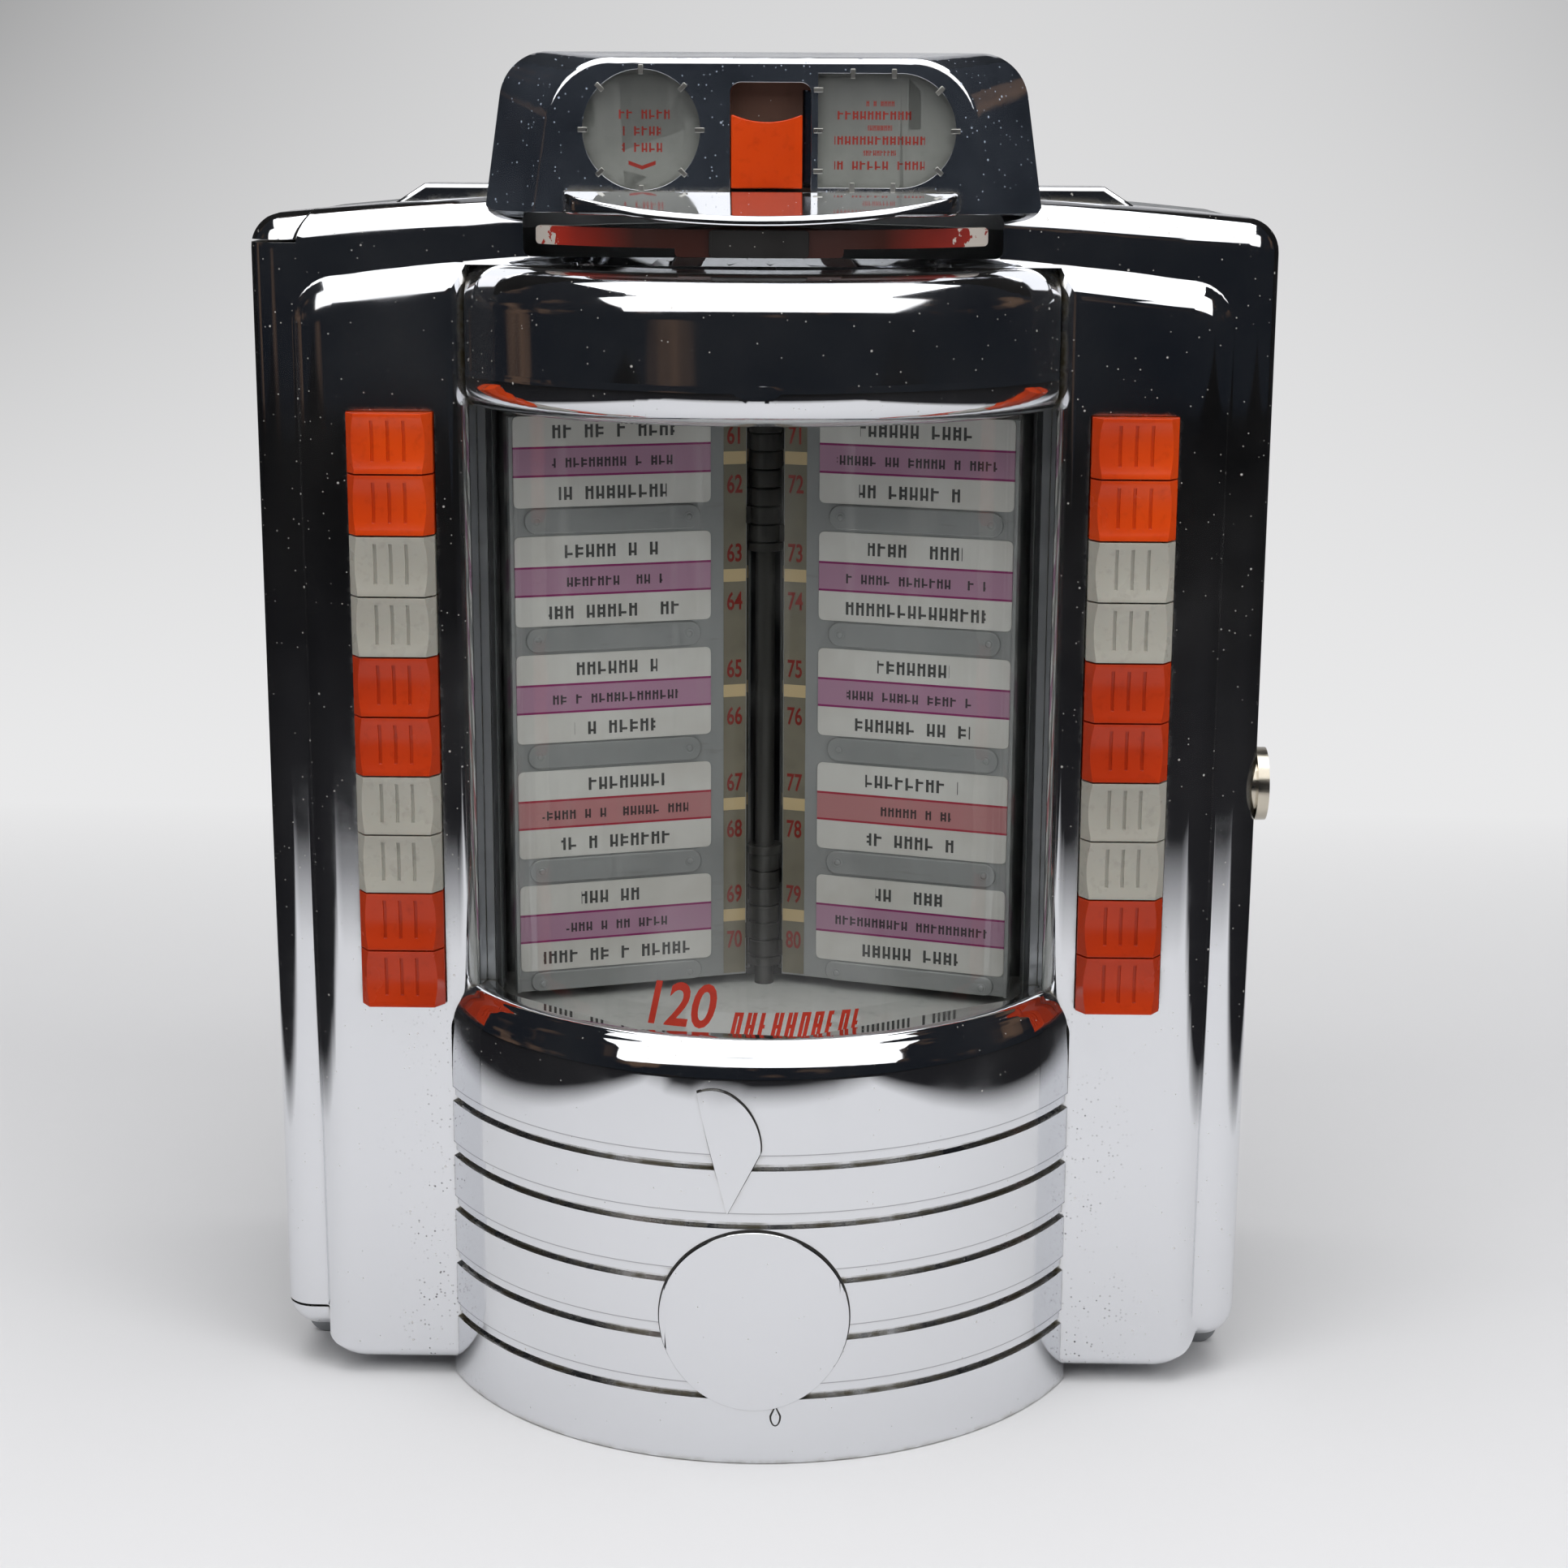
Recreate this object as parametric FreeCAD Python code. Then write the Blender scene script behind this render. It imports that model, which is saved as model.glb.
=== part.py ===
# Jukebox wall box selector: rear case, hinged front door with button columns, page carousel,
# page bar, coin return key and lock.
# Units are millimetres.  X runs to the right, Y to the back, Z up.
# The page spindle stands on the Z axis and the case rests on Z = 0.
import math
import os

import FreeCAD
import Part
from FreeCAD import Vector

# ---------------------------------------------------------------- driving dimensions
# door casting
door_half_width = 148.0
door_bottom_z = 12.0
door_top_z = 362.4
door_top_arch_radius = 1360.0
door_corner_radius = 10.0
door_back_y = -18.0
door_front_y = -43.0
door_edge_radius = 9.0
door_wall = 2.6
parting_gap = 2.0
weld_margin = 0.1

# raised wing panel on the door
wing_front_y = -48.0
wing_half_width = door_half_width - 11.0
wing_bottom_z = 5.5
wing_top_z = 347.7
wing_top_arch_radius = 933.0
wing_corner_radius = 15.0
wing_edge_radius = 12.0
wing_foot_edge_radius = 3.5
wing_cove_radius = 1.8
wing_wall = 2.8

# window, header and base, all round the spindle axis
window_half_width = 85.0
window_edge_radius = 6.0
window_bottom_z = 118.4
window_top_z = 343.0
jamb_wall = 2.6
jamb_back_y = 2.0
glass_radius = 86.0
glass_thickness = 1.5
glass_edge_half_width = 83.0
channel_lip = 2.6
channel_front = 9.0
channel_back = 3.0
glass_top_z = 303.5
header_radius = 98.0
header_bottom_z = 300.4
header_top_z = 341.2
header_crown_radius = 12.0
header_foot_height = 11.6
header_foot_inset = 6.5
header_back_radius = 66.0
header_wall = 2.0
base_radius = 105.0
base_wall = 3.0
base_bottom_z = 0.3
rim_radius = 88.4
rim_z = 122.6
rim_lip = 0.5
collar_foot_z = 95.6
collar_shoulder_radius = 9.0
collar_back_y = -25.2
collar_back_height = 12.0
glass_seat_depth = 3.8
groove_count = 5
groove_pitch = 17.6
groove_first_z = 21.1
groove_depth = 1.8
groove_width = 1.8
groove_step_height = 2.6
groove_step_depth = 0.7

# page bar slot, the thin ledge over it and the low pad that the hood stands on
slot_half_width = 68.5
slot_bottom_z = 343.5
slot_top_z = 356.2
slot_end_radius = 2.5
ledge_radius = 88.0
ledge_half_width = 55.0
ledge_root_y = -37.0
ledge_corner_radius = 12.0
ledge_level_reach = 66.0
ledge_lip_top_z = 356.4
ledge_lip_thickness = 2.7
pad_half_foot = 106.5
pad_half_top = 98.0
pad_top_z = 363.6
pad_front_y = -31.0
pad_edge_radius = 1.5

# hood
hood_front_y = -58.0
hood_shoulder_y = -40.0
hood_front_half_foot = 63.5
hood_rear_half_foot = 79.5
hood_front_top_z = 398.6
hood_rear_top_z = 400.4
hood_side_lean = 6.5
hood_front_corner_radius = 20.0
hood_rear_corner_radius = 14.0
hood_wall = 2.0
hood_edge_radius = 2.2
hood_foot_depth = 6.0
hood_hole_inset = 14.0
round_window_x = -33.5
round_window_z = 379.0
round_window_radius = 16.4
d_window_left_x = 15.6
d_window_radius = 15.5
d_window_straight = 22.8
lens_rim = 0.9
lens_thickness = 1.5
lens_tab_overlap = 1.4
round_tab_count = 8
d_arc_tab_angles = (-45.0, 0.0, 45.0)
d_straight_tab_shares = (0.42, 0.92)
d_left_tab_rises = (-11.0, 0.0, 11.0)
lens_tab_size = 2.6
lens_tab_thickness = 0.5
card_thickness = 0.5

# coin return key and coin slot
key_left_x = -8.5
key_width = 19.8
key_bottom_z = 363.2
key_height = 20.0
key_thickness = 5.0
key_scoop_radius = 24.0
key_scoop_depth = 1.9
key_proud = 0.2
key_travel = 4.0
key_clearance = 0.3
coin_slot_width = 2.4
pocket_top_z = 392.0
pocket_depth = 9.0
pocket_wall = 1.6
pocket_floor = 1.0

# buttons
button_count = 10
button_pitch = 17.8
button_gap = 0.5
button_opening_inner_x = 94.4
button_opening_width = 25.6
button_opening_bottom_z = 121.8
button_opening_corner = 0.5
button_side_clearance = 0.35
button_face_y = -54.0
button_depth = 12.0
button_face_width = 19.6
button_scoop_radius = 26.0
button_scoop_depth = 1.2
button_rib_groove_width = 0.9
button_rib_groove_depth = 0.6
button_rib_groove_spacing = 4.6
button_groove_low = 0.6
button_groove_high = 0.76
button_stem = 6.0
button_stem_length = 17.0
button_travel = 4.0
stem_clearance = 0.3

# button rack behind each opening
rack_back_y = -28.0
rack_plate = 3.0
rack_wall = 1.8
rack_margin = 2.6
switch_depth = 7.0
switch_gap = 1.0
switch_bank_half_width = 5.0

# page carousel
spindle_radius = 3.0
spindle_bottom_z = 109.0
spindle_top_z = 353.4
running_clearance = 0.08
leaf_count = 6
leaf_rest_angles = (72.0, -72.0, -100.0, -128.0, 128.0, 100.0)
leaf_inner_radius = 8.5
leaf_outer_radius = 80.0
leaf_bottom_z = 118.0
strip_count = 5
strip_pitch = 35.6
leaf_plate = 1.0
leaf_edge_width = 1.2
leaf_rail_height = 7.4
leaf_rail_thickness = 1.0
leaf_rail_end_gap = 3.4
leaf_rivet_radius = 1.3
leaf_rivet_proud = 0.35
strip_inner_radius = 17.5
card_inset = 0.4
title_card_thickness = 0.35
knuckle_outer_radius = 4.8
knuckle_height = 5.2
knuckle_pitch = 5.6
knuckle_stack_bottom_z = 124.0
knuckle_stack_top_z = 256.0
collar_radius = 5.5
collar_height = 2.6
collar_gap = 0.2

# carriers of the spindle
floor_top_z = 114.6
floor_plate = 2.0
bracket_front_y = -12.0
bracket_z = 297.6
bracket_plate = 2.4
bracket_boss_radius = 7.0
bracket_boss_height = 6.0
carrier_glass_gap = 1.2
carrier_tab = 1.6
floor_tab_height = 9.0
floor_back_reach = 6.0
bracket_tab_height = 10.0

# page bar
bar_front_radius = 84.0
bar_thickness = 4.0
bar_bottom_z = 345.4
bar_top_z = 352.8
bar_arm_bottom_z = 347.7
bar_half_length = 63.5
bar_middle_half_width = 23.0
bar_hub_radius = 8.0
bar_spoke_width = 8.0
bar_spoke_angle = 24.0
bar_spoke_plate = 2.4
bar_block_half_width = 13.6
bar_block_proud = 1.6
bar_end_radius = 1.2

# hinge
hinge_x = 7.0 - door_half_width
hinge_y = -33.0
hinge_barrel_radius = 7.0
hinge_ear_side = 6.5
hinge_notch_clearance = 0.5
hinge_upper_ear_z = 347.8
hinge_lower_ear_z = 20.4
hinge_arm_height = 4.0
hinge_tenon_height = 3.0
hinge_tenon_width = 6.0
hinge_foot_length = 18.0
hinge_foot_width = 8.0
hinge_foot_plate = 1.8
hinge_ear_gap = 0.8
hinge_pin_radius = 2.5
hinge_pin_depth = 14.0

# lock in the right side of the door
lock_y = -30.5
lock_z = 188.0
lock_head_radius = 11.0
lock_head_proud = 3.3
lock_body_radius = 8.8
lock_inner_x = door_half_width - 20.4
lock_plug_radius = 6.2
lock_cam_plate = 2.4
lock_cam_radius = 26.5
lock_pin_radius = 2.5
lock_pin_distance = 21.5
lock_pin_clearance = 0.5
lock_cam_half_angle = 27.0
lock_hub_radius = 8.0
strike_plate = 1.8
strike_depth = 20.0
strike_half_height = 13.0
key_slot_width = 1.6
key_slot_length = 8.0

# rear case
case_half_width = door_half_width - 2.0
case_shadow_step = 1.0
case_back_y = 86.0
case_back_edge_radius = 4.0
case_corner_radius = 6.0
case_wall = 1.6
case_flange = 9.0
mount_spacing_x = 203.2
mount_spacing_z = 254.0
mount_low_z = 50.0
mount_hole_radius = 3.3
cable_hole_radius = 11.1
cable_hole_z = 96.0
grommet_flange = 2.6
grommet_lip = 2.2

# coin chute, coin cup and relay unit in the case
chute_x = case_half_width - 34.0
chute_y = 40.0
chute_width = 30.0
chute_thickness = 9.0
chute_wall = 1.4
chute_bottom_z = 74.0
chute_top_z = 318.0
chute_funnel = 9.0
chute_arm = 2.0
chute_arm_height = 16.0
chute_arm_zs = (110.0, 200.0)
cup_width = 46.0
cup_depth = 88.0
cup_height = 56.0
cup_wall = 1.4
relay_x = -62.0
relay_count = 3
relay_pitch = 34.0
relay_coil_radius = 11.0
relay_coil_length = 34.0
relay_plate = 2.4
relay_plate_height = 68.0
relay_y = 30.0
relay_foot_depth = 26.0
relay_yoke_half_width = 8.0
terminal_ways = 8
terminal_pitch = 9.5
terminal_depth = 12.0
terminal_height = 16.0

# enamelled medallion and the plain crest above it
medallion_z = 45.0
medallion_radius = 27.5
medallion_thickness = 1.6
crest_tip = (-7.7, 77.8)
crest_left = (-16.4, 111.0)
crest_crown = (-3.2, 108.6)
crest_right = (1.8, 96.5)
crest_thickness = 1.4

# ---------------------------------------------------------------- small tools
def box(x0, x1, y0, y1, z0, z1):
    return Part.makeBox(x1 - x0, y1 - y0, z1 - z0, Vector(x0, y0, z0))


def cylinder(radius, height, base, axis):
    return Part.makeCylinder(radius, height, base, axis)


def upright(radius, z0, z1, x=0.0, y=0.0):
    return cylinder(radius, z1 - z0, Vector(x, y, z0), Vector(0, 0, 1))


def fuse(shapes):
    whole = shapes[0]
    for shape in shapes[1:]:
        whole = whole.fuse(shape)
    return whole.removeSplitter()


def turn(shape, angle):
    copy = shape.copy()
    copy.rotate(Vector(0, 0, 0), Vector(0, 0, 1), angle)
    return copy


def mirror_x(shape):
    return shape.mirror(Vector(0, 0, 0), Vector(1, 0, 0))


def bend(centre, radius, start, end):
    """Arc of a (radius, z) outline, as its first, middle and last points; angles in degrees."""
    points = []
    for angle in (start, (start + end) / 2, end):
        turned = math.radians(angle)
        points.append((centre[0] + radius * math.cos(turned),
                       centre[1] + radius * math.sin(turned)))
    return tuple(points)


def revolve(outline):
    """Solid made by turning a closed outline of (radius, z) points and bends about the spindle."""
    edges = []
    first = last = None
    for item in outline:
        stops = item if isinstance(item[0], tuple) else (item,)
        stops = [Vector(radius, 0, z) for radius, z in stops]
        if last is None:
            first = stops[0]
        elif (stops[0] - last).Length > 1e-6:
            edges.append(Part.LineSegment(last, stops[0]).toShape())
        if len(stops) == 3:
            edges.append(Part.Arc(*stops).toShape())
        last = stops[-1]
    edges.append(Part.LineSegment(last, first).toShape())
    return Part.Face(Part.Wire(edges)).revolve(Vector(0, 0, 0), Vector(0, 0, 1), 360.0)


def front_point(x, z, y=0.0):
    return Vector(x, y, z)


def prism_y(edges, y0, y1):
    """Prism between two Y planes from outline edges that lie in the plane Y = 0."""
    face = Part.Face(Part.Wire(edges))
    solid = face.extrude(Vector(0, y1 - y0, 0))
    solid.translate(Vector(0, y0, 0))
    return solid


def arched_outline(half_width, bottom_z, top_z, arch_radius):
    """Four edges: straight bottom and sides, gently arched top."""
    drop = arch_radius - math.sqrt(arch_radius ** 2 - half_width ** 2)
    left_low = front_point(-half_width, bottom_z)
    right_low = front_point(half_width, bottom_z)
    right_high = front_point(half_width, top_z - drop)
    left_high = front_point(-half_width, top_z - drop)
    top = Part.Arc(right_high, front_point(0, top_z), left_high).toShape()
    return [Part.LineSegment(left_low, right_low).toShape(),
            Part.LineSegment(right_low, right_high).toShape(),
            top,
            Part.LineSegment(left_high, left_low).toShape()]


def edges_along_y(shape):
    found = []
    for edge in shape.Edges:
        if len(edge.Vertexes) == 2:
            span = edge.Vertexes[1].Point - edge.Vertexes[0].Point
            if abs(span.x) < 1e-4 and abs(span.z) < 1e-4 and abs(span.y) > 1e-3:
                found.append(edge)
    return found


def edges_on_y(shape, y):
    return [edge for edge in shape.Edges
            if abs(edge.BoundBox.YMin - y) < 1e-3 and abs(edge.BoundBox.YMax - y) < 1e-3]


def arched_prism(half_width, bottom_z, top_z, arch_radius, corner_radius, y0, y1):
    solid = prism_y(arched_outline(half_width, bottom_z, top_z, arch_radius), y0, y1)
    return solid.makeFillet(corner_radius, edges_along_y(solid))


def rounded_box(x0, x1, y0, y1, z0, z1, radius):
    solid = box(x0, x1, y0, y1, z0, z1)
    return solid.makeFillet(radius, edges_along_y(solid))


# ---------------------------------------------------------------- door casting
def rim_form():
    """Outer form of the door's rim, with its rounded front edge."""
    rim = arched_prism(door_half_width, door_bottom_z, door_top_z, door_top_arch_radius,
                       door_corner_radius, door_front_y, door_back_y)
    return rim.makeFillet(door_edge_radius, edges_on_y(rim, door_front_y))


def wing_form(back_y):
    """Raised panel: a wide rounding over its top and sides, a small one along its foot."""
    deep_y = wing_front_y + wing_edge_radius + 1.0
    below_z = wing_bottom_z - 3 * wing_edge_radius
    wide = arched_prism(wing_half_width, below_z, wing_top_z, wing_top_arch_radius,
                        wing_corner_radius, wing_front_y, deep_y)
    wide = wide.makeFillet(wing_edge_radius, edges_on_y(wide, wing_front_y))
    foot = rounded_box(-wing_half_width, wing_half_width, wing_front_y, back_y,
                       wing_bottom_z, wing_top_z + wing_corner_radius, wing_corner_radius)
    foot = foot.makeFillet(wing_foot_edge_radius, edges_on_y(foot, wing_front_y))
    return wide.common(foot)


def cove_edges(shape):
    """Inner corner where the wing panel rises from the rim's flat front."""
    flat_bottom_z = door_bottom_z + door_edge_radius
    found = []
    for edge in edges_on_y(shape, door_front_y):
        bounds = edge.BoundBox
        inside_x = max(-bounds.XMin, bounds.XMax) < wing_half_width
        if inside_x and flat_bottom_z < bounds.ZMax < wing_top_z:
            found.append(edge)
    return found


def door_body():
    """Solid outside form of the door, before it is hollowed."""
    panel_back_y = door_front_y + door_wall
    block = fuse([rim_form(), wing_form(panel_back_y)])
    block = block.makeFillet(wing_cove_radius, cove_edges(block))
    return fuse([block, hood_pad()])


def door_block():
    return door_body().fuse(ledge_block(ledge_root_y))


def hood_pad():
    """Low flat pad with sloping ends on the arched top, where the hood stands."""
    foot_z = door_top_z - 2 * door_edge_radius
    end_z = door_top_z - door_top_arch_radius + math.sqrt(door_top_arch_radius ** 2
                                                          - pad_half_foot ** 2)
    corners = [front_point(-pad_half_foot, foot_z), front_point(pad_half_foot, foot_z),
               front_point(pad_half_foot, end_z), front_point(pad_half_top, pad_top_z),
               front_point(-pad_half_top, pad_top_z), front_point(-pad_half_foot, end_z)]
    pad = Part.Face(Part.makePolygon(corners + [corners[0]]))
    pad = pad.extrude(Vector(0, door_back_y - pad_front_y, 0))
    pad.translate(Vector(0, pad_front_y, 0))
    top = [edge for edge in edges_on_y(pad, pad_front_y) if edge.BoundBox.ZMin > end_z - 1.0]
    pad = pad.makeFillet(pad_edge_radius, top)
    return pad


def ledge_block(back_y):
    """Ledge under the hood: level at first, then falling to a thin lip."""
    slope = (door_top_z - ledge_lip_top_z) / (ledge_radius - ledge_level_reach)
    end_y = -ledge_radius - 1.0
    end_z = ledge_lip_top_z - slope
    under_y = end_y + (slot_top_z - end_z + ledge_lip_thickness) / slope
    side = [(back_y, door_top_z), (-ledge_level_reach, door_top_z), (end_y, end_z),
            (end_y, end_z - ledge_lip_thickness), (under_y, slot_top_z), (back_y, slot_top_z)]
    corners = [Vector(-ledge_half_width, y, z) for y, z in side]
    wedge = Part.Face(Part.makePolygon(corners + [corners[0]])).extrude(
        Vector(2 * ledge_half_width, 0, 0))
    plan = upright(ledge_radius, slot_bottom_z, door_top_z + 1.0).common(
        box(-ledge_half_width, ledge_half_width, -ledge_radius, back_y,
            slot_bottom_z, door_top_z + 1.0))
    corner_edges = [edge for edge in plan.Edges
                    if edge.BoundBox.ZLength > 1.0 and edge.BoundBox.YMax < back_y - 1.0]
    plan = plan.makeFillet(ledge_corner_radius, corner_edges)
    return wedge.common(plan)


def door_cavity():
    inside = arched_prism(door_half_width - door_wall, door_bottom_z + door_wall,
                          door_top_z - door_wall, door_top_arch_radius - door_wall,
                          door_corner_radius - door_wall, door_front_y + door_wall,
                          door_back_y)
    inside = inside.makeFillet(door_edge_radius - door_wall,
                               edges_on_y(inside, door_front_y + door_wall))
    behind_panel = arched_prism(wing_half_width - wing_wall, door_bottom_z + door_wall,
                                wing_top_z - wing_wall, wing_top_arch_radius - wing_wall,
                                wing_corner_radius - wing_wall,
                                wing_front_y + wing_wall, door_back_y)
    behind_panel = behind_panel.makeFillet(wing_edge_radius - wing_wall,
                                           edges_on_y(behind_panel, wing_front_y + wing_wall))
    return inside.fuse(behind_panel)


def button_opening():
    return rounded_box(button_opening_inner_x, button_opening_inner_x + button_opening_width,
                       wing_front_y - 2.0, door_front_y + 10.0,
                       button_opening_bottom_z,
                       button_opening_bottom_z + button_count * button_pitch,
                       button_opening_corner)


def window_edge_rounding():
    """Sliver cut away to round the upright edge between a wing and the window."""
    centre_x = window_half_width + window_edge_radius
    centre_y = wing_front_y + window_edge_radius
    corner = box(window_half_width - 1.0, centre_x, wing_front_y - 1.0, centre_y,
                 window_bottom_z, header_top_z)
    return corner.cut(upright(window_edge_radius, window_bottom_z - 1.0, header_top_z + 1.0,
                              centre_x, centre_y))


def hinge_ear_reach():
    """Distance from the hinge axis to the farthest corner of an ear, on the rim's front."""
    return math.hypot(hinge_ear_side, hinge_y - door_front_y)


def hinge_notch(z0, z1):
    """Corner cut that clears one hinge ear over the whole swing."""
    corner = box(-door_half_width - 5.0, hinge_x + hinge_ear_side + hinge_notch_clearance,
                 wing_front_y - 5.0, door_back_y + 5.0, z0, z1)
    swing = upright(hinge_ear_reach() + hinge_notch_clearance, z0, z1, hinge_x, hinge_y)
    return corner.fuse(swing)


def barrel_bottom_z():
    return hinge_lower_ear_z + hinge_ear_gap


def barrel_top_z():
    return hinge_upper_ear_z - hinge_ear_gap


def window_side(block):
    """Upright jamb beside the window with the thick post that its front edge is rounded on."""
    jamb = box(window_half_width, window_half_width + jamb_wall,
               wing_front_y + wing_wall, jamb_back_y, window_bottom_z, window_top_z)
    post = box(window_half_width, window_half_width + window_edge_radius,
               wing_front_y + wing_wall, wing_front_y + window_edge_radius,
               window_bottom_z, window_top_z)
    behind = box(window_half_width - 1.0, window_half_width + 2 * window_edge_radius,
                 door_front_y, jamb_back_y, window_bottom_z, window_top_z)
    room = block.fuse(behind)
    room.translate(Vector(0, weld_margin, -weld_margin))
    return fuse([jamb, post]).common(room)


def door_frame():
    block = door_body()
    frame = block.cut(door_cavity())
    side = window_side(block)
    barrel = upright(hinge_barrel_radius, barrel_bottom_z(), barrel_top_z(), hinge_x, hinge_y)
    frame = fuse([frame, side, mirror_x(side), barrel])

    front = -ledge_radius - 5.0
    window = box(-window_half_width, window_half_width, front, door_back_y - 4.0,
                 window_bottom_z, header_top_z)
    base = revolve(base_outline_solid()).common(
        box(-base_radius, base_radius, -base_radius, door_front_y + 8.0, -5.0, rim_z))
    slot = rounded_box(-slot_half_width, slot_half_width, front, door_back_y - 12.0,
                       slot_bottom_z, slot_top_z, slot_end_radius)
    key_well = box(key_left_x - key_clearance - pocket_wall,
                   key_left_x + key_width + coin_slot_width + pocket_wall,
                   hood_front_y - key_proud - key_clearance,
                   hood_front_y + hood_wall + pocket_depth,
                   pocket_floor_z(), door_top_z + 1.0)
    frame = frame.cut(slot).fuse(ledge_block(ledge_root_y))
    for cutter in (window, base, key_well,
                   window_edge_rounding(), mirror_x(window_edge_rounding()),
                   button_opening(), mirror_x(button_opening()),
                   hinge_notch(-1.0, barrel_bottom_z()),
                   hinge_notch(barrel_top_z(), door_top_z + 2.0)):
        frame = frame.cut(cutter)

    hood_hole_half = hood_front_half_foot - hood_hole_inset
    hood_hole = box(-hood_hole_half, hood_hole_half, door_front_y + door_edge_radius,
                    door_back_y - 3.0, door_top_z - 12.0, door_top_z + 2.0)
    frame = frame.cut(hood_hole)

    bore = hinge_pin_radius + running_clearance
    for z in (barrel_bottom_z() - 1.0, barrel_top_z() - hinge_pin_depth):
        frame = frame.cut(upright(bore, z, z + hinge_pin_depth + 1.0, hinge_x, hinge_y))
    frame = frame.cut(cylinder(lock_body_radius, 20.0,
                               Vector(door_half_width - 12.0, lock_y, lock_z), Vector(1, 0, 0)))
    return frame.removeSplitter()


# ---------------------------------------------------------------- header, base and glass
def header_panel():
    """Convex plate with a wide crown above and a foot that curls in to the glass."""
    crown_centre = (header_radius - header_crown_radius, header_top_z - header_crown_radius)
    foot_top_z = header_bottom_z + header_foot_height
    foot_radius = header_radius - header_foot_inset
    lean = math.sqrt(0.5)
    outer_foot = ((foot_radius, header_bottom_z),
                  (foot_radius + header_foot_inset * lean, foot_top_z - header_foot_height * lean),
                  (header_radius, foot_top_z))
    inner_foot = ((header_radius - header_wall, foot_top_z),
                  (foot_radius + header_foot_inset * lean - header_wall,
                   foot_top_z - (header_foot_height - header_wall) * lean),
                  (foot_radius - header_wall, header_bottom_z + header_wall))
    glass_side = glass_radius + 0.6
    shell = revolve([outer_foot,
                     bend(crown_centre, header_crown_radius, 0.0, 90.0),
                     (header_back_radius, header_top_z),
                     (header_back_radius, header_top_z - header_wall),
                     bend(crown_centre, header_crown_radius - header_wall, 90.0, 0.0),
                     inner_foot,
                     (glass_side, header_bottom_z + header_wall),
                     (glass_side, header_bottom_z)])
    room = box(-window_half_width, window_half_width, -header_radius, -19.0,
               header_bottom_z, header_top_z)
    return shell.common(room)


def base_face_outline():
    """Outer face of the grooved base from the bottom up to the rim."""
    points = [(base_radius, base_bottom_z)]
    step_radius = base_radius - groove_step_depth
    for index in range(groove_count):
        z = groove_first_z + index * groove_pitch
        points += [(base_radius, z - groove_width / 2),
                   (base_radius - groove_depth, z - groove_width / 2),
                   (base_radius - groove_depth, z + groove_width / 2),
                   (step_radius, z + groove_width / 2),
                   (step_radius, z + groove_width / 2 + groove_step_height),
                   (base_radius, z + groove_width / 2 + groove_step_height)]
    points.append((base_radius, collar_foot_z))
    points.append(bend(collar_shoulder_centre(), collar_shoulder_radius, 0.0, 90.0))
    points += [(rim_radius + rim_lip, rim_z), (rim_radius, rim_z - rim_lip)]
    return points


def collar_shoulder_centre():
    return (base_radius - collar_shoulder_radius, rim_z - collar_shoulder_radius)


def base_outline_solid():
    return base_face_outline() + [(0.0, rim_z - rim_lip), (0.0, base_bottom_z)]


def base_apron():
    """Grooved half-round base whose collar runs on behind the wing panel to the jambs."""
    inner_radius = base_radius - base_wall
    ledge_z = glass_bottom_z()
    ledge_inner = glass_radius - glass_thickness - 0.9
    points = base_face_outline()
    points += [(glass_radius + 0.2, rim_z - rim_lip), (glass_radius + 0.2, ledge_z),
               (ledge_inner, ledge_z), (ledge_inner, ledge_z - 2.0),
               bend(collar_shoulder_centre(), collar_shoulder_radius - base_wall, 90.0, 0.0),
               (inner_radius, collar_foot_z - 1.0), (inner_radius, base_bottom_z)]
    shell = revolve(points)
    wall_back_y = wing_front_y + wing_wall
    front = shell.common(box(-base_radius, base_radius, -base_radius, wall_back_y,
                             base_bottom_z, rim_z))
    collar_reach = window_half_width - 0.3
    collar = shell.common(box(-collar_reach, collar_reach, wall_back_y, collar_back_y,
                              rim_z - collar_back_height, rim_z))
    edge_x = math.sqrt(base_radius ** 2 - wall_back_y ** 2)
    flange = box(edge_x - 6.0, edge_x + 5.0, wall_back_y, wall_back_y + base_wall,
                 door_bottom_z + door_wall + wing_edge_radius, collar_foot_z - 1.0)
    return fuse([front, collar, flange, mirror_x(flange)])


def glass_bottom_z():
    return rim_z - glass_seat_depth


def window_glass():
    ring = upright(glass_radius, glass_bottom_z(), glass_top_z)
    ring = ring.cut(upright(glass_radius - glass_thickness, glass_bottom_z() - 1.0,
                            glass_top_z + 1.0))
    return ring.common(box(-glass_edge_half_width, glass_edge_half_width, -glass_radius, 0.0,
                           glass_bottom_z(), glass_top_z))


def window_channels():
    """Upright channels on the jambs that hold the two edges of the glass."""
    inner_x = glass_edge_half_width - channel_lip
    edge_y = -math.sqrt((glass_radius - glass_thickness) ** 2 - glass_edge_half_width ** 2)
    bar = box(inner_x, window_half_width, edge_y - channel_front, edge_y + channel_back,
              window_bottom_z, header_bottom_z)
    right = bar.cut(window_glass())
    return Part.makeCompound([mirror_x(right), right])


def medallion():
    """Plain enamelled disc that follows the curve of the base."""
    front = upright(base_radius + medallion_thickness, medallion_z - medallion_radius,
                    medallion_z + medallion_radius)
    front = front.cut(upright(base_radius, medallion_z - medallion_radius - 1.0,
                              medallion_z + medallion_radius + 1.0))
    disc = cylinder(medallion_radius, base_radius * 1.2,
                    Vector(0, -base_radius * 1.2, medallion_z), Vector(0, 1, 0))
    near = box(-medallion_radius, medallion_radius, -base_radius * 1.2, 0.0,
               medallion_z - medallion_radius, medallion_z + medallion_radius)
    return front.common(disc).common(near)


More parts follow.
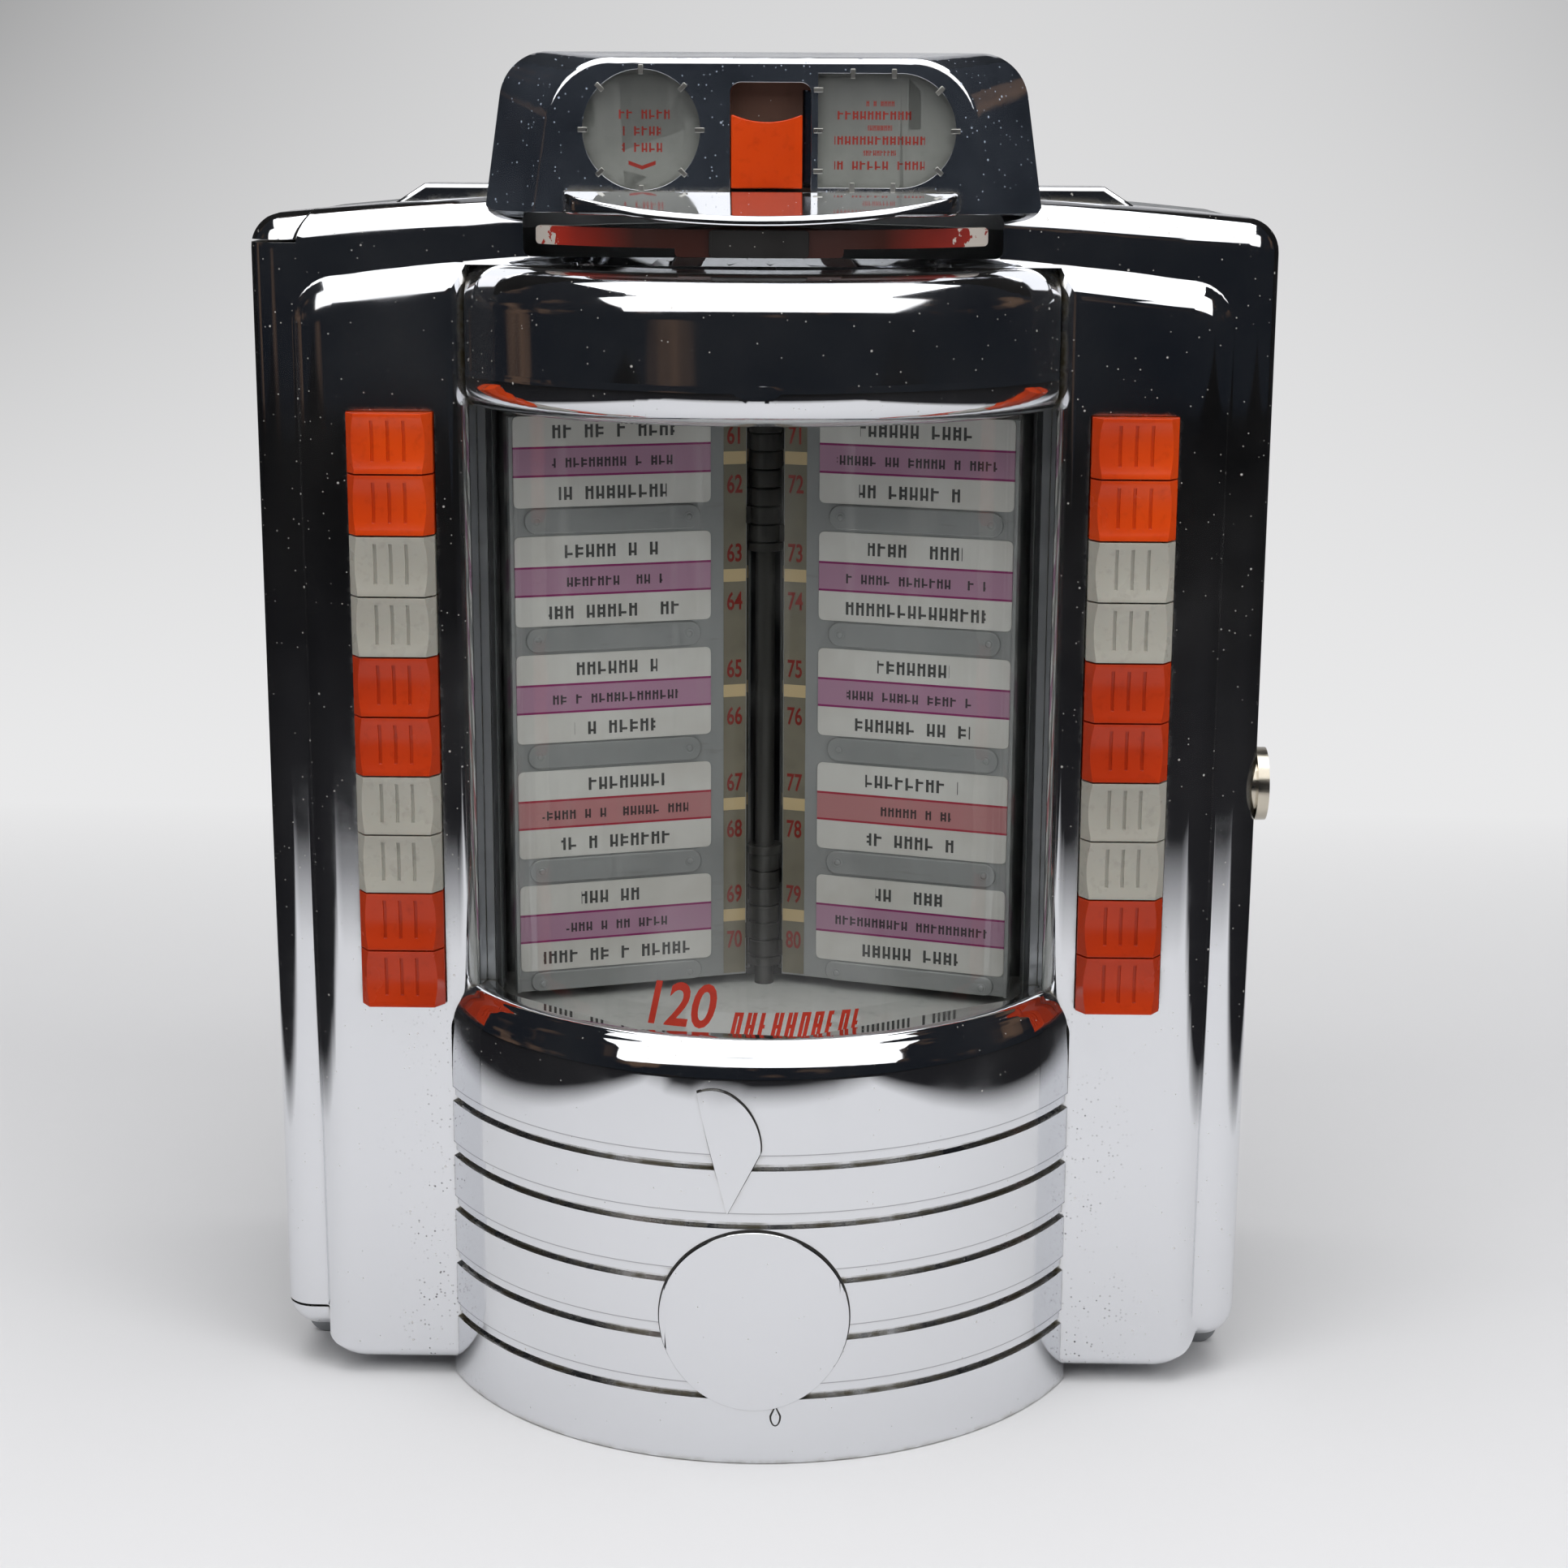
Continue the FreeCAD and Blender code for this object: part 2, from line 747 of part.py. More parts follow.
def crest():
    """Plain petal-shaped plate above the medallion."""
    tip, left, crown, right = [front_point(*spot) for spot in
                               (crest_tip, crest_left, crest_crown, crest_right)]
    wire = Part.Wire([Part.LineSegment(tip, left).toShape(),
                      Part.Arc(left, crown, right).toShape(),
                      Part.LineSegment(right, tip).toShape()])
    petal = Part.Face(wire).extrude(Vector(0, -base_radius * 1.2, 0))
    low, high = crest_tip[1] - 1.0, crest_left[1] + 5.0
    shell = upright(base_radius + crest_thickness, low, high)
    shell = shell.cut(upright(base_radius, low - 1.0, high + 1.0))
    return shell.common(petal)


# ---------------------------------------------------------------- hood
def hood_wire(y, half_foot, top_z, corner_radius, foot_z, lean):
    """Outline of the hood in a plane of constant Y, with rounded shoulders."""
    half_top = half_foot - lean
    side = front_point(half_top, top_z) - front_point(half_foot, foot_z)
    length = side.Length
    lean_angle = math.atan2(half_foot - half_top, top_z - foot_z)
    tangent = corner_radius * math.tan((math.pi / 2 - lean_angle) / 2)
    unit = Vector(side.x / length, 0, side.z / length)
    corner = front_point(half_top, top_z)
    low = corner - unit * tangent
    high = corner + Vector(-tangent, 0, 0)
    centre = high - Vector(0, 0, corner_radius)
    bisector = (corner - centre).normalize()
    middle = centre + bisector * corner_radius

    def at(point, sign):
        return Vector(point.x * sign, y, point.z)

    foot = front_point(half_foot, foot_z)
    return Part.Wire([
        Part.LineSegment(at(foot, -1), at(foot, 1)).toShape(),
        Part.LineSegment(at(foot, 1), at(low, 1)).toShape(),
        Part.Arc(at(low, 1), at(middle, 1), at(high, 1)).toShape(),
        Part.LineSegment(at(high, 1), at(high, -1)).toShape(),
        Part.Arc(at(high, -1), at(middle, -1), at(low, -1)).toShape(),
        Part.LineSegment(at(low, -1), at(foot, -1)).toShape()])


def hood_form(inset, front_y, back_y, edge_radius):
    """Loft from the front outline to the wider rear outline, then straight back."""
    foot_z = door_top_z - hood_foot_depth
    front = hood_wire(front_y, hood_front_half_foot - inset, hood_front_top_z - inset,
                      hood_front_corner_radius - inset, foot_z, hood_side_lean)
    rear = hood_wire(hood_shoulder_y, hood_rear_half_foot - inset, hood_rear_top_z - inset,
                     hood_rear_corner_radius - inset, foot_z, hood_side_lean)
    nose = Part.makeLoft([front, rear], True, True)
    if edge_radius > 0:
        rim = [edge for edge in edges_on_y(nose, front_y) if edge.BoundBox.ZMax > foot_z + 1.0]
        nose = nose.makeFillet(edge_radius, rim)
    tail = Part.Face(rear).extrude(Vector(0, back_y - hood_shoulder_y, 0))
    return fuse([nose, tail])


def d_window_outline(grow):
    """Edges of the D window in the plane Y = 0, grown outward by a margin."""
    radius = d_window_radius + grow
    left = d_window_left_x - grow
    turn_x = d_window_left_x + d_window_straight
    low, high = round_window_z - radius, round_window_z + radius
    return [Part.LineSegment(front_point(left, high), front_point(left, low)).toShape(),
            Part.LineSegment(front_point(left, low), front_point(turn_x, low)).toShape(),
            Part.Arc(front_point(turn_x, low), front_point(turn_x + radius, round_window_z),
                     front_point(turn_x, high)).toShape(),
            Part.LineSegment(front_point(turn_x, high), front_point(left, high)).toShape()]


def pocket_left_x():
    return key_left_x - key_clearance


def pocket_right_x():
    return key_left_x + key_width + coin_slot_width


def pocket_floor_z():
    return slot_top_z + pocket_floor


def pocket_opening(y0, y1, bottom_z):
    return rounded_box(pocket_left_x(), pocket_right_x(), y0, y1, bottom_z, pocket_top_z, 3.0)


def hood():
    shell = hood_form(0.0, hood_front_y, door_back_y, hood_edge_radius)
    hollow = hood_form(hood_wall, hood_front_y + hood_wall, door_back_y - hood_wall, 0.0)
    shell = shell.cut(hollow)
    front = hood_front_y - 5.0
    behind = hood_front_y + hood_wall + 1.0
    round_hole = cylinder(round_window_radius, behind - front,
                          Vector(round_window_x, front, round_window_z), Vector(0, 1, 0))
    d_hole = prism_y(d_window_outline(0.0), front, behind)
    shell = shell.cut(round_hole).cut(d_hole)
    shell = shell.cut(pocket_opening(front, behind, door_top_z - hood_foot_depth))
    shell = shell.cut(door_block())
    return shell.removeSplitter()


def coin_pocket():
    """Dark pocket behind the key with the coin slot beside it."""
    y0 = hood_front_y + hood_wall
    y1 = y0 + pocket_depth
    floor_z = pocket_floor_z()
    outer = box(pocket_left_x() - pocket_wall, pocket_right_x() + pocket_wall, y0, y1,
                floor_z, pocket_top_z + pocket_wall)
    inner = box(pocket_left_x(), pocket_right_x(), y0, y1 - pocket_wall,
                floor_z + pocket_floor, pocket_top_z)
    body = outer.cut(inner)
    coin_slit = box(pocket_right_x() - coin_slot_width, pocket_right_x(), y1 - pocket_wall - 1.0,
                    y1 + 1.0, key_bottom_z, pocket_top_z - 2.0)
    tongue_slot = box(key_left_x + key_width / 2 - 3.3, key_left_x + key_width / 2 + 3.3,
                      y1 - pocket_wall - 1.0, y1 + 1.0,
                      key_bottom_z - key_travel + 1.0, key_bottom_z + key_height - 3.0)
    return body.cut(coin_slit).cut(tongue_slot)


def coin_return_key():
    """Translucent key with a hollow thumb face and a dished upper edge."""
    y0 = hood_front_y - key_proud
    x1 = key_left_x + key_width
    plate = box(key_left_x, x1, y0, y0 + key_thickness, key_bottom_z, key_bottom_z + key_height)
    middle_x = key_left_x + key_width / 2
    dish = cylinder(key_scoop_radius, key_thickness + 2.0,
                    Vector(middle_x, y0 - 1.0,
                           key_bottom_z + key_height + key_scoop_radius - key_scoop_depth),
                    Vector(0, 1, 0))
    thumb = cylinder(key_scoop_radius, key_height + 2.0,
                     Vector(middle_x, y0 - key_scoop_radius + 1.4, key_bottom_z - 1.0),
                     Vector(0, 0, 1))
    back = hood_front_y + hood_wall + pocket_depth + 3.0
    tongue = box(middle_x - 3.0, middle_x + 3.0, y0 + key_thickness - 0.5, back,
                 key_bottom_z + 6.0, key_bottom_z + 14.0)
    return fuse([plate.cut(dish).cut(thumb), tongue])


def trim_foot(shape):
    """Flat lower edge that stands on the top of the door casting."""
    return shape.cut(box(-door_half_width, door_half_width, 2 * hood_front_y, 0.0,
                         0.0, door_top_z))


def lens_round():
    lens = cylinder(round_window_radius + lens_rim, lens_thickness,
                    Vector(round_window_x, hood_front_y + hood_wall, round_window_z),
                    Vector(0, 1, 0))
    return trim_foot(lens)


def lens_d():
    y0 = hood_front_y + hood_wall
    lens = prism_y(d_window_outline(lens_rim), y0, y0 + lens_thickness)
    pocket_side = pocket_right_x() + pocket_wall
    lens = lens.cut(box(0, pocket_side, y0 - 1.0, y0 + 5.0, round_window_z - 30.0,
                        round_window_z + 30.0))
    return trim_foot(lens)


def instruction_cards():
    y0 = hood_front_y + hood_wall + lens_thickness
    disc = cylinder(round_window_radius + 0.8, card_thickness,
                    Vector(round_window_x, y0, round_window_z), Vector(0, 1, 0))
    d_card = prism_y(d_window_outline(0.8), y0, y0 + card_thickness)
    d_card = d_card.cut(box(0, pocket_right_x() + pocket_wall, y0 - 1.0, y0 + 3.0,
                            round_window_z - 30.0, round_window_z + 30.0))
    return Part.makeCompound([trim_foot(disc), trim_foot(d_card)])


def lens_tab(x, z, angle):
    """One bent tab at a point of an opening's edge, pointing outward at an angle."""
    tab = box(-lens_tab_size / 2, lens_tab_size / 2, hood_front_y - lens_tab_thickness,
              hood_front_y, -lens_tab_overlap, lens_tab_size - lens_tab_overlap)
    tab.rotate(Vector(0, 0, 0), Vector(0, 1, 0), 90.0 - angle)
    tab.translate(Vector(x, 0, z))
    return tab


def lens_tabs():
    """Bent tabs round both lens openings, on the front of the hood."""
    tabs = []
    for index in range(round_tab_count):
        angle = index * 360.0 / round_tab_count
        turned = math.radians(angle)
        tabs.append(lens_tab(round_window_x + round_window_radius * math.cos(turned),
                             round_window_z + round_window_radius * math.sin(turned), angle))
    for angle in d_arc_tab_angles:
        turned = math.radians(angle)
        tabs.append(lens_tab(d_window_left_x + d_window_straight + d_window_radius * math.cos(turned),
                             round_window_z + d_window_radius * math.sin(turned), angle))
    for side in (-1, 1):
        for share in d_straight_tab_shares:
            tabs.append(lens_tab(d_window_left_x + d_window_straight * share,
                                 round_window_z + side * d_window_radius, 90.0 * side))
    for rise in d_left_tab_rises:
        tabs.append(lens_tab(d_window_left_x, round_window_z + rise, 180.0))
    return trim_foot(Part.makeCompound(tabs))


# ---------------------------------------------------------------- buttons and racks
def button_height():
    return button_pitch - button_gap


def button_centre_z(index):
    return button_opening_bottom_z + (index + 0.5) * button_pitch


def button_middle_x():
    return button_opening_inner_x + button_opening_width / 2


def button():
    """One key cap with bevelled sides, hollow face, three grooves and a square stem."""
    half_base = button_opening_width / 2 - button_side_clearance
    half_face = button_face_width / 2
    half_height = button_height() / 2
    bevel_y = button_face_y + 4.0
    back_y = button_face_y + button_depth
    corners = [Vector(-half_face, button_face_y, 0), Vector(half_face, button_face_y, 0),
               Vector(half_base, bevel_y, 0), Vector(half_base, back_y, 0),
               Vector(-half_base, back_y, 0), Vector(-half_base, bevel_y, 0)]
    wire = Part.makePolygon(corners + [corners[0]])
    cap = Part.Face(wire).extrude(Vector(0, 0, 2 * half_height))
    cap.translate(Vector(0, 0, -half_height))

    centre_y = button_face_y - button_scoop_radius + button_scoop_depth
    scoop = cylinder(button_scoop_radius, 2 * half_base,
                     Vector(-half_base, centre_y, 0), Vector(1, 0, 0))
    cap = cap.cut(scoop)
    for offset in (-1, 0, 1):
        x = offset * button_rib_groove_spacing - button_rib_groove_width / 2
        groove = cylinder(button_scoop_radius + button_rib_groove_depth, button_rib_groove_width,
                          Vector(x, centre_y, 0), Vector(1, 0, 0))
        groove = groove.common(box(x, x + button_rib_groove_width, button_face_y - 1.0, bevel_y,
                                   -button_groove_low * half_height,
                                   button_groove_high * half_height))
        cap = cap.cut(groove)
    half_stem = button_stem / 2
    stem = box(-half_stem, half_stem, back_y, back_y + button_stem_length, -half_stem, half_stem)
    return fuse([cap, stem])


def rack():
    """Moulded carrier behind one button column, with the switch bank on its back."""
    inner_x = button_opening_inner_x - rack_margin
    outer_x = button_opening_inner_x + button_opening_width + rack_margin
    bottom_z = button_opening_bottom_z - rack_margin
    top_z = button_opening_bottom_z + button_count * button_pitch + rack_margin
    front_y = wing_front_y + wing_wall
    body = box(inner_x, outer_x, front_y, rack_back_y, bottom_z, top_z)
    hollow = box(inner_x + rack_wall, outer_x - rack_wall, front_y - 1.0,
                 rack_back_y - rack_plate, bottom_z + rack_wall, top_z - rack_wall)
    body = body.cut(hollow)

    half_hole = button_stem / 2 + stem_clearance
    switch_y0 = button_face_y + button_depth + button_stem_length + button_travel + switch_gap
    switch_y1 = switch_y0 + switch_depth
    bank_half = switch_bank_half_width
    bank = box(button_middle_x() - bank_half, button_middle_x() + bank_half, switch_y0,
               switch_y1, bottom_z, top_z)
    legs = [box(button_middle_x() - bank_half, button_middle_x() + bank_half, rack_back_y,
                switch_y0, z, z + rack_wall) for z in (bottom_z, top_z - rack_wall)]
    body = fuse([body, bank] + legs)
    for index in range(button_count):
        z = button_centre_z(index)
        body = body.cut(box(button_middle_x() - half_hole, button_middle_x() + half_hole,
                            rack_back_y - rack_plate - 1.0, rack_back_y + 1.0,
                            z - half_hole, z + half_hole))
        body = body.cut(box(button_middle_x() - bank_half - 1.0, button_middle_x() - 2.0,
                            switch_y0 + 2.0, switch_y1 + 1.0, z - 5.0, z + 5.0))
    return body


# ---------------------------------------------------------------- page carousel
def leaf_top_z():
    return leaf_bottom_z + strip_count * strip_pitch


def ring(inner, outer, z0, z1):
    return upright(outer, z0, z1).cut(upright(inner, z0 - 1.0, z1 + 1.0))


def leaf_rail(z):
    """Round-ended rail across both faces of a leaf, with a rivet near each end."""
    radius = leaf_rail_height / 2
    half = leaf_plate / 2 + leaf_rail_thickness
    x0 = strip_inner_radius + leaf_rail_end_gap + radius
    x1 = leaf_outer_radius - leaf_edge_width - leaf_rail_end_gap - radius
    parts = [box(x0, x1, -half, half, z - radius, z + radius)]
    for x in (x0, x1):
        parts.append(cylinder(radius, 2 * half, Vector(x, -half, z), Vector(0, 1, 0)))
        parts.append(cylinder(leaf_rivet_radius, 2 * (half + leaf_rivet_proud),
                              Vector(x, -half - leaf_rivet_proud, z), Vector(0, 1, 0)))
    edge = box(0, leaf_outer_radius, -2 * half, 2 * half, leaf_bottom_z, leaf_top_z())
    return fuse(parts).common(edge)


def leaf(index):
    """One page leaf: pressed frame with rails, number column, cards and its own knuckles."""
    half_plate = leaf_plate / 2
    top_z = leaf_top_z()
    plate = box(leaf_inner_radius, leaf_outer_radius, -half_plate, half_plate,
                leaf_bottom_z, top_z)
    pieces = [plate]
    rail_half = half_plate + leaf_rail_thickness
    rail_radius = leaf_rail_height / 2
    for row in range(strip_count + 1):
        pieces.append(leaf_rail(leaf_bottom_z + row * strip_pitch))
    pieces.append(box(leaf_outer_radius - leaf_edge_width, leaf_outer_radius, -rail_half,
                      rail_half, leaf_bottom_z, top_z))
    bore = spindle_radius + running_clearance
    for stack_z in (knuckle_stack_bottom_z, knuckle_stack_top_z):
        z = stack_z + index * knuckle_pitch
        arm = box(spindle_radius + 0.6, leaf_inner_radius + 1.0, -half_plate, half_plate,
                  z, z + knuckle_height)
        pieces.append(arm)
        pieces.append(upright(knuckle_outer_radius, z, z + knuckle_height))
    body = fuse(pieces)
    body = body.cut(upright(bore, leaf_bottom_z - 1.0, top_z + 1.0))

    cards = []
    card_x0 = strip_inner_radius + card_inset
    card_x1 = leaf_outer_radius - leaf_edge_width - card_inset
    for row in range(strip_count):
        z0 = leaf_bottom_z + row * strip_pitch + rail_radius + card_inset
        z1 = leaf_bottom_z + (row + 1) * strip_pitch - rail_radius - card_inset
        for side in (-1, 1):
            y_near = side * half_plate
            y_far = side * (half_plate + title_card_thickness)
            cards.append(box(card_x0, card_x1, min(y_near, y_far), max(y_near, y_far), z0, z1))
    whole = Part.makeCompound([body] + cards)
    return turn(whole, leaf_rest_angles[index] - 90.0)


def spindle():
    rod = upright(spindle_radius, spindle_bottom_z, spindle_top_z)
    stack_height = leaf_count * knuckle_pitch
    below = [knuckle_stack_bottom_z - collar_gap - collar_height,
             knuckle_stack_top_z - collar_gap - collar_height,
             bar_bottom_z - collar_gap - collar_height]
    above = [knuckle_stack_bottom_z + stack_height - (knuckle_pitch - knuckle_height) + collar_gap,
             knuckle_stack_top_z + stack_height - (knuckle_pitch - knuckle_height) + collar_gap]
    collars = [upright(collar_radius, z, z + collar_height) for z in below + above]
    return fuse([rod] + collars)


def holder_floor():
    front_radius = glass_radius - glass_thickness - carrier_glass_gap
    disc = upright(front_radius, floor_top_z - floor_plate, floor_top_z)
    disc = disc.common(box(-front_radius, front_radius, -front_radius,
                           jamb_back_y + floor_back_reach,
                           floor_top_z - floor_plate, floor_top_z))
    bar = box(-window_half_width, window_half_width, bracket_front_y, jamb_back_y,
              floor_top_z - floor_plate, floor_top_z)
    tab = box(window_half_width - carrier_tab, window_half_width, bracket_front_y, jamb_back_y,
              floor_top_z - floor_plate, floor_top_z + floor_tab_height)
    boss = upright(bracket_boss_radius, floor_top_z - bracket_boss_height, floor_top_z)
    plate = fuse([disc, bar, tab, mirror_x(tab), boss])
    return plate.cut(upright(spindle_radius, spindle_bottom_z - 5.0, floor_top_z + 5.0))


def holder_bracket():
    z1 = bracket_z + bracket_plate
    bar = box(-window_half_width, window_half_width, bracket_front_y, jamb_back_y, bracket_z, z1)
    tab = box(window_half_width - carrier_tab, window_half_width, bracket_front_y, jamb_back_y,
              bracket_z, z1 + bracket_tab_height)
    tongue = box(-bracket_boss_radius, bracket_boss_radius, bracket_front_y,
                 bracket_boss_radius, bracket_z, z1)
    boss = upright(bracket_boss_radius, bracket_z, z1 + bracket_boss_height)
    plate = fuse([bar, tab, mirror_x(tab), tongue, boss])
    return plate.cut(upright(spindle_radius, bracket_z - 5.0, z1 + 20.0))


def bar_arc(inner, outer, half_width, z0, end_radius):
    """Curved bar round the spindle in front, with the corners of its ends rounded."""
    arc = ring(inner, outer, z0, bar_top_z)
    front = rounded_box(-half_width, half_width, -outer - 1.0, -1.0, z0, bar_top_z, end_radius)
    return arc.common(front)


def page_bar():
    """Curved finger bar, deeper in the middle, on two spokes that turn on the spindle."""
    inner = bar_front_radius - bar_thickness
    arc = bar_arc(inner, bar_front_radius, bar_half_length, bar_arm_bottom_z, bar_end_radius)
    middle = bar_arc(inner, bar_front_radius, bar_middle_half_width, bar_bottom_z,
                     bar_end_radius)
    hub = upright(bar_hub_radius, bar_bottom_z, bar_top_z - 1.0)
    spokes = []
    for sign in (-1, 1):
        spoke = box(-bar_spoke_width / 2, bar_spoke_width / 2,
                    -bar_front_radius + bar_thickness / 2, 0.0,
                    bar_top_z - bar_spoke_plate - 1.0, bar_top_z - 1.0)
        spokes.append(turn(spoke, sign * bar_spoke_angle))
    body = fuse([arc, middle, hub] + spokes)
    return body.cut(upright(spindle_radius + running_clearance, bar_bottom_z - 1.0,
                            bar_top_z + 1.0))


def bar_block():
    """Dark grey middle grip clipped over the front of the page bar."""
    return bar_arc(bar_front_radius, bar_front_radius + bar_block_proud, bar_block_half_width,
                   bar_bottom_z, bar_end_radius)


# ---------------------------------------------------------------- hinge and lock
def hinge_tenons(y0, y1):
    """Tongues of the two ears that pass through the front flange of the case."""
    tenons = []
    for z in (hinge_lower_ear_z - hinge_tenon_height, hinge_upper_ear_z):
        tenons.append(box(hinge_x + 1.0, hinge_x + 1.0 + hinge_tenon_width, y0, y1,
                          z, z + hinge_tenon_height))
    return tenons


def hinge_ears():
    """Lower and upper ear: the rim's cut-out corner, an arm, a tenon and a foot inside.

    The corner keeps to a circle round the hinge axis, so that the door swings clear of it."""
    case_front_y = door_back_y + parting_gap
    flange_back_y = case_front_y + case_wall
    side_x = hinge_x + hinge_ear_side
    corner = rim_form()
    corner_x0 = -door_half_width - 1.0
    lower = (0.0, hinge_lower_ear_z, hinge_lower_ear_z - hinge_arm_height,
             hinge_lower_ear_z - hinge_tenon_height)
    upper = (hinge_upper_ear_z, door_top_z, hinge_upper_ear_z,
             hinge_upper_ear_z + hinge_tenon_height - hinge_foot_length)
    tenons = hinge_tenons(case_front_y - 1.0, flange_back_y + 1.0)
    ears = []
    for (z0, z1, arm_z, foot_z), tenon in zip((lower, upper), tenons):
        room = box(corner_x0, side_x, door_front_y, door_back_y, z0, z1)
        room = room.fuse(upright(hinge_ear_reach(), z0, z1, hinge_x, hinge_y))
        nose = corner.common(room)
        arm = box(hinge_x - hinge_arm_height, side_x, hinge_y, case_front_y,
                  arm_z, arm_z + hinge_arm_height)
        foot = box(side_x - hinge_foot_width, side_x, flange_back_y,
                   flange_back_y + hinge_foot_plate, foot_z, foot_z + hinge_foot_length)
        bore = upright(hinge_pin_radius, 0.0, door_top_z, hinge_x, hinge_y)
        ears.append(fuse([nose, arm, foot, tenon]).cut(bore))
    return Part.makeCompound(ears)


def hinge_pins():
    low_z0 = door_bottom_z + 0.6
    low_z1 = barrel_bottom_z() + hinge_pin_depth - 1.5
    high_z0 = barrel_top_z() - hinge_pin_depth + 1.5
    high_z1 = hinge_upper_ear_z + hinge_arm_height
    return Part.makeCompound([upright(hinge_pin_radius, low_z0, low_z1, hinge_x, hinge_y),
                              upright(hinge_pin_radius, high_z0, high_z1, hinge_x, hinge_y)])


def along_x(radius, x0, x1, y=lock_y, z=lock_z):
    return cylinder(radius, x1 - x0, Vector(x0, y, z), Vector(1, 0, 0))


def lock_body():
    head = along_x(lock_head_radius, door_half_width, door_half_width + lock_head_proud)
    barrel = along_x(lock_body_radius, lock_inner_x, door_half_width)
    bore = along_x(lock_plug_radius + running_clearance, lock_inner_x - 1.0,
                   door_half_width + lock_head_proud + 1.0)
    return fuse([head, barrel]).cut(bore)


def lock_plug():
    """Plug with its keyway and the hooked cam that grips the strike pin."""
    face_x = door_half_width + lock_head_proud - 0.4
    plug = along_x(lock_plug_radius, lock_inner_x - 0.5, face_x)
    keyway = box(face_x - 6.0, face_x + 1.0, lock_y - key_slot_width / 2,
                 lock_y + key_slot_width / 2, lock_z - key_slot_length / 2,
                 lock_z + key_slot_length / 2)
    cam_x1 = lock_inner_x - 0.5
    cam_x0 = cam_x1 - lock_cam_plate
    disc = along_x(lock_cam_radius, cam_x0, cam_x1)
    reach = lock_cam_radius * 1.5
    spread = reach * math.tan(math.radians(lock_cam_half_angle))
    wedge_points = [Vector(cam_x0, lock_y, lock_z + lock_plug_radius),
                    Vector(cam_x0, lock_y + spread, lock_z - reach),
                    Vector(cam_x0, lock_y - spread, lock_z - reach)]
    wedge = Part.Face(Part.makePolygon(wedge_points + [wedge_points[0]]))
    wedge = wedge.extrude(Vector(lock_cam_plate, 0, 0))
    hub = along_x(lock_hub_radius, cam_x0, cam_x1)
    track_inner = lock_pin_distance - lock_pin_radius - lock_pin_clearance
    track_outer = lock_pin_distance + lock_pin_radius + lock_pin_clearance
    track = along_x(track_outer, cam_x0 - 1.0, cam_x1 + 1.0)
    track = track.cut(along_x(track_inner, cam_x0 - 2.0, cam_x1 + 2.0))
    track = track.common(box(cam_x0 - 1.0, cam_x1 + 1.0, lock_y - lock_pin_radius - 1.0,
                             lock_y + lock_cam_radius, lock_z - lock_cam_radius - 2.0, lock_z))
    cam = disc.common(wedge).cut(track)
    return fuse([plug.cut(keyway), cam, hub])


def lock_strike():
    """Bracket on the case wall with the pin that the lock cam hooks round."""
    wall_x = case_half_width - case_wall
    plate_y0 = door_back_y + parting_gap + case_wall
    plate = box(wall_x - strike_plate, wall_x, plate_y0, plate_y0 + strike_depth,
                lock_z - strike_half_height, lock_z + strike_half_height)
    pin_y = lock_y + lock_pin_distance
    pin = along_x(lock_pin_radius, lock_inner_x - lock_cam_plate - 2.0, wall_x - 1.0, pin_y)
    return fuse([plate, pin])


# ---------------------------------------------------------------- rear case and contents
def case_form(inset, y0, y1):
    """Case outline, a little inside the door outline, shrunk by an inset."""
    top_z = door_top_z - case_shadow_step
    return arched_prism(case_half_width - inset, inset, top_z - inset,
                        door_top_arch_radius - inset, case_corner_radius - inset / 4, y0, y1)


def rear_case():
    front_y = door_back_y + parting_gap
    inner_back_y = case_back_y - case_wall
    outer = case_form(0.0, front_y, case_back_y)
    outer = outer.makeFillet(case_back_edge_radius, edges_on_y(outer, case_back_y))
    inner = case_form(case_wall, front_y + case_wall, inner_back_y)
    inner = inner.makeFillet(case_back_edge_radius - case_wall, edges_on_y(inner, inner_back_y))
    mouth = case_form(case_flange, front_y - 1.0, front_y + case_wall + 1.0)
    shell = outer.cut(inner).cut(mouth)
    for x in (-mount_spacing_x / 2, mount_spacing_x / 2):
        for z in (mount_low_z, mount_low_z + mount_spacing_z):
            shell = shell.cut(cylinder(mount_hole_radius, case_wall + 4.0,
                                       Vector(x, case_back_y - case_wall - 2.0, z),
                                       Vector(0, 1, 0)))
    shell = shell.cut(cylinder(cable_hole_radius + grommet_lip / 2, case_wall + 4.0,
                               Vector(0, case_back_y - case_wall - 2.0, cable_hole_z),
                               Vector(0, 1, 0)))
    for tenon in hinge_tenons(front_y - 1.0, front_y + case_wall + 1.0):
        shell = shell.cut(tenon)
    return shell


def cable_grommet():
    seat_radius = cable_hole_radius + grommet_lip / 2
    y0 = case_back_y - case_wall
    core = cylinder(seat_radius, case_wall, Vector(0, y0, cable_hole_z), Vector(0, 1, 0))
    inside = cylinder(seat_radius + grommet_flange, 2.0, Vector(0, y0 - 2.0, cable_hole_z),
                      Vector(0, 1, 0))
    bore = cylinder(cable_hole_radius - grommet_lip, 10.0, Vector(0, y0 - 4.0, cable_hole_z),
                    Vector(0, 1, 0))
    return fuse([core, inside]).cut(bore)


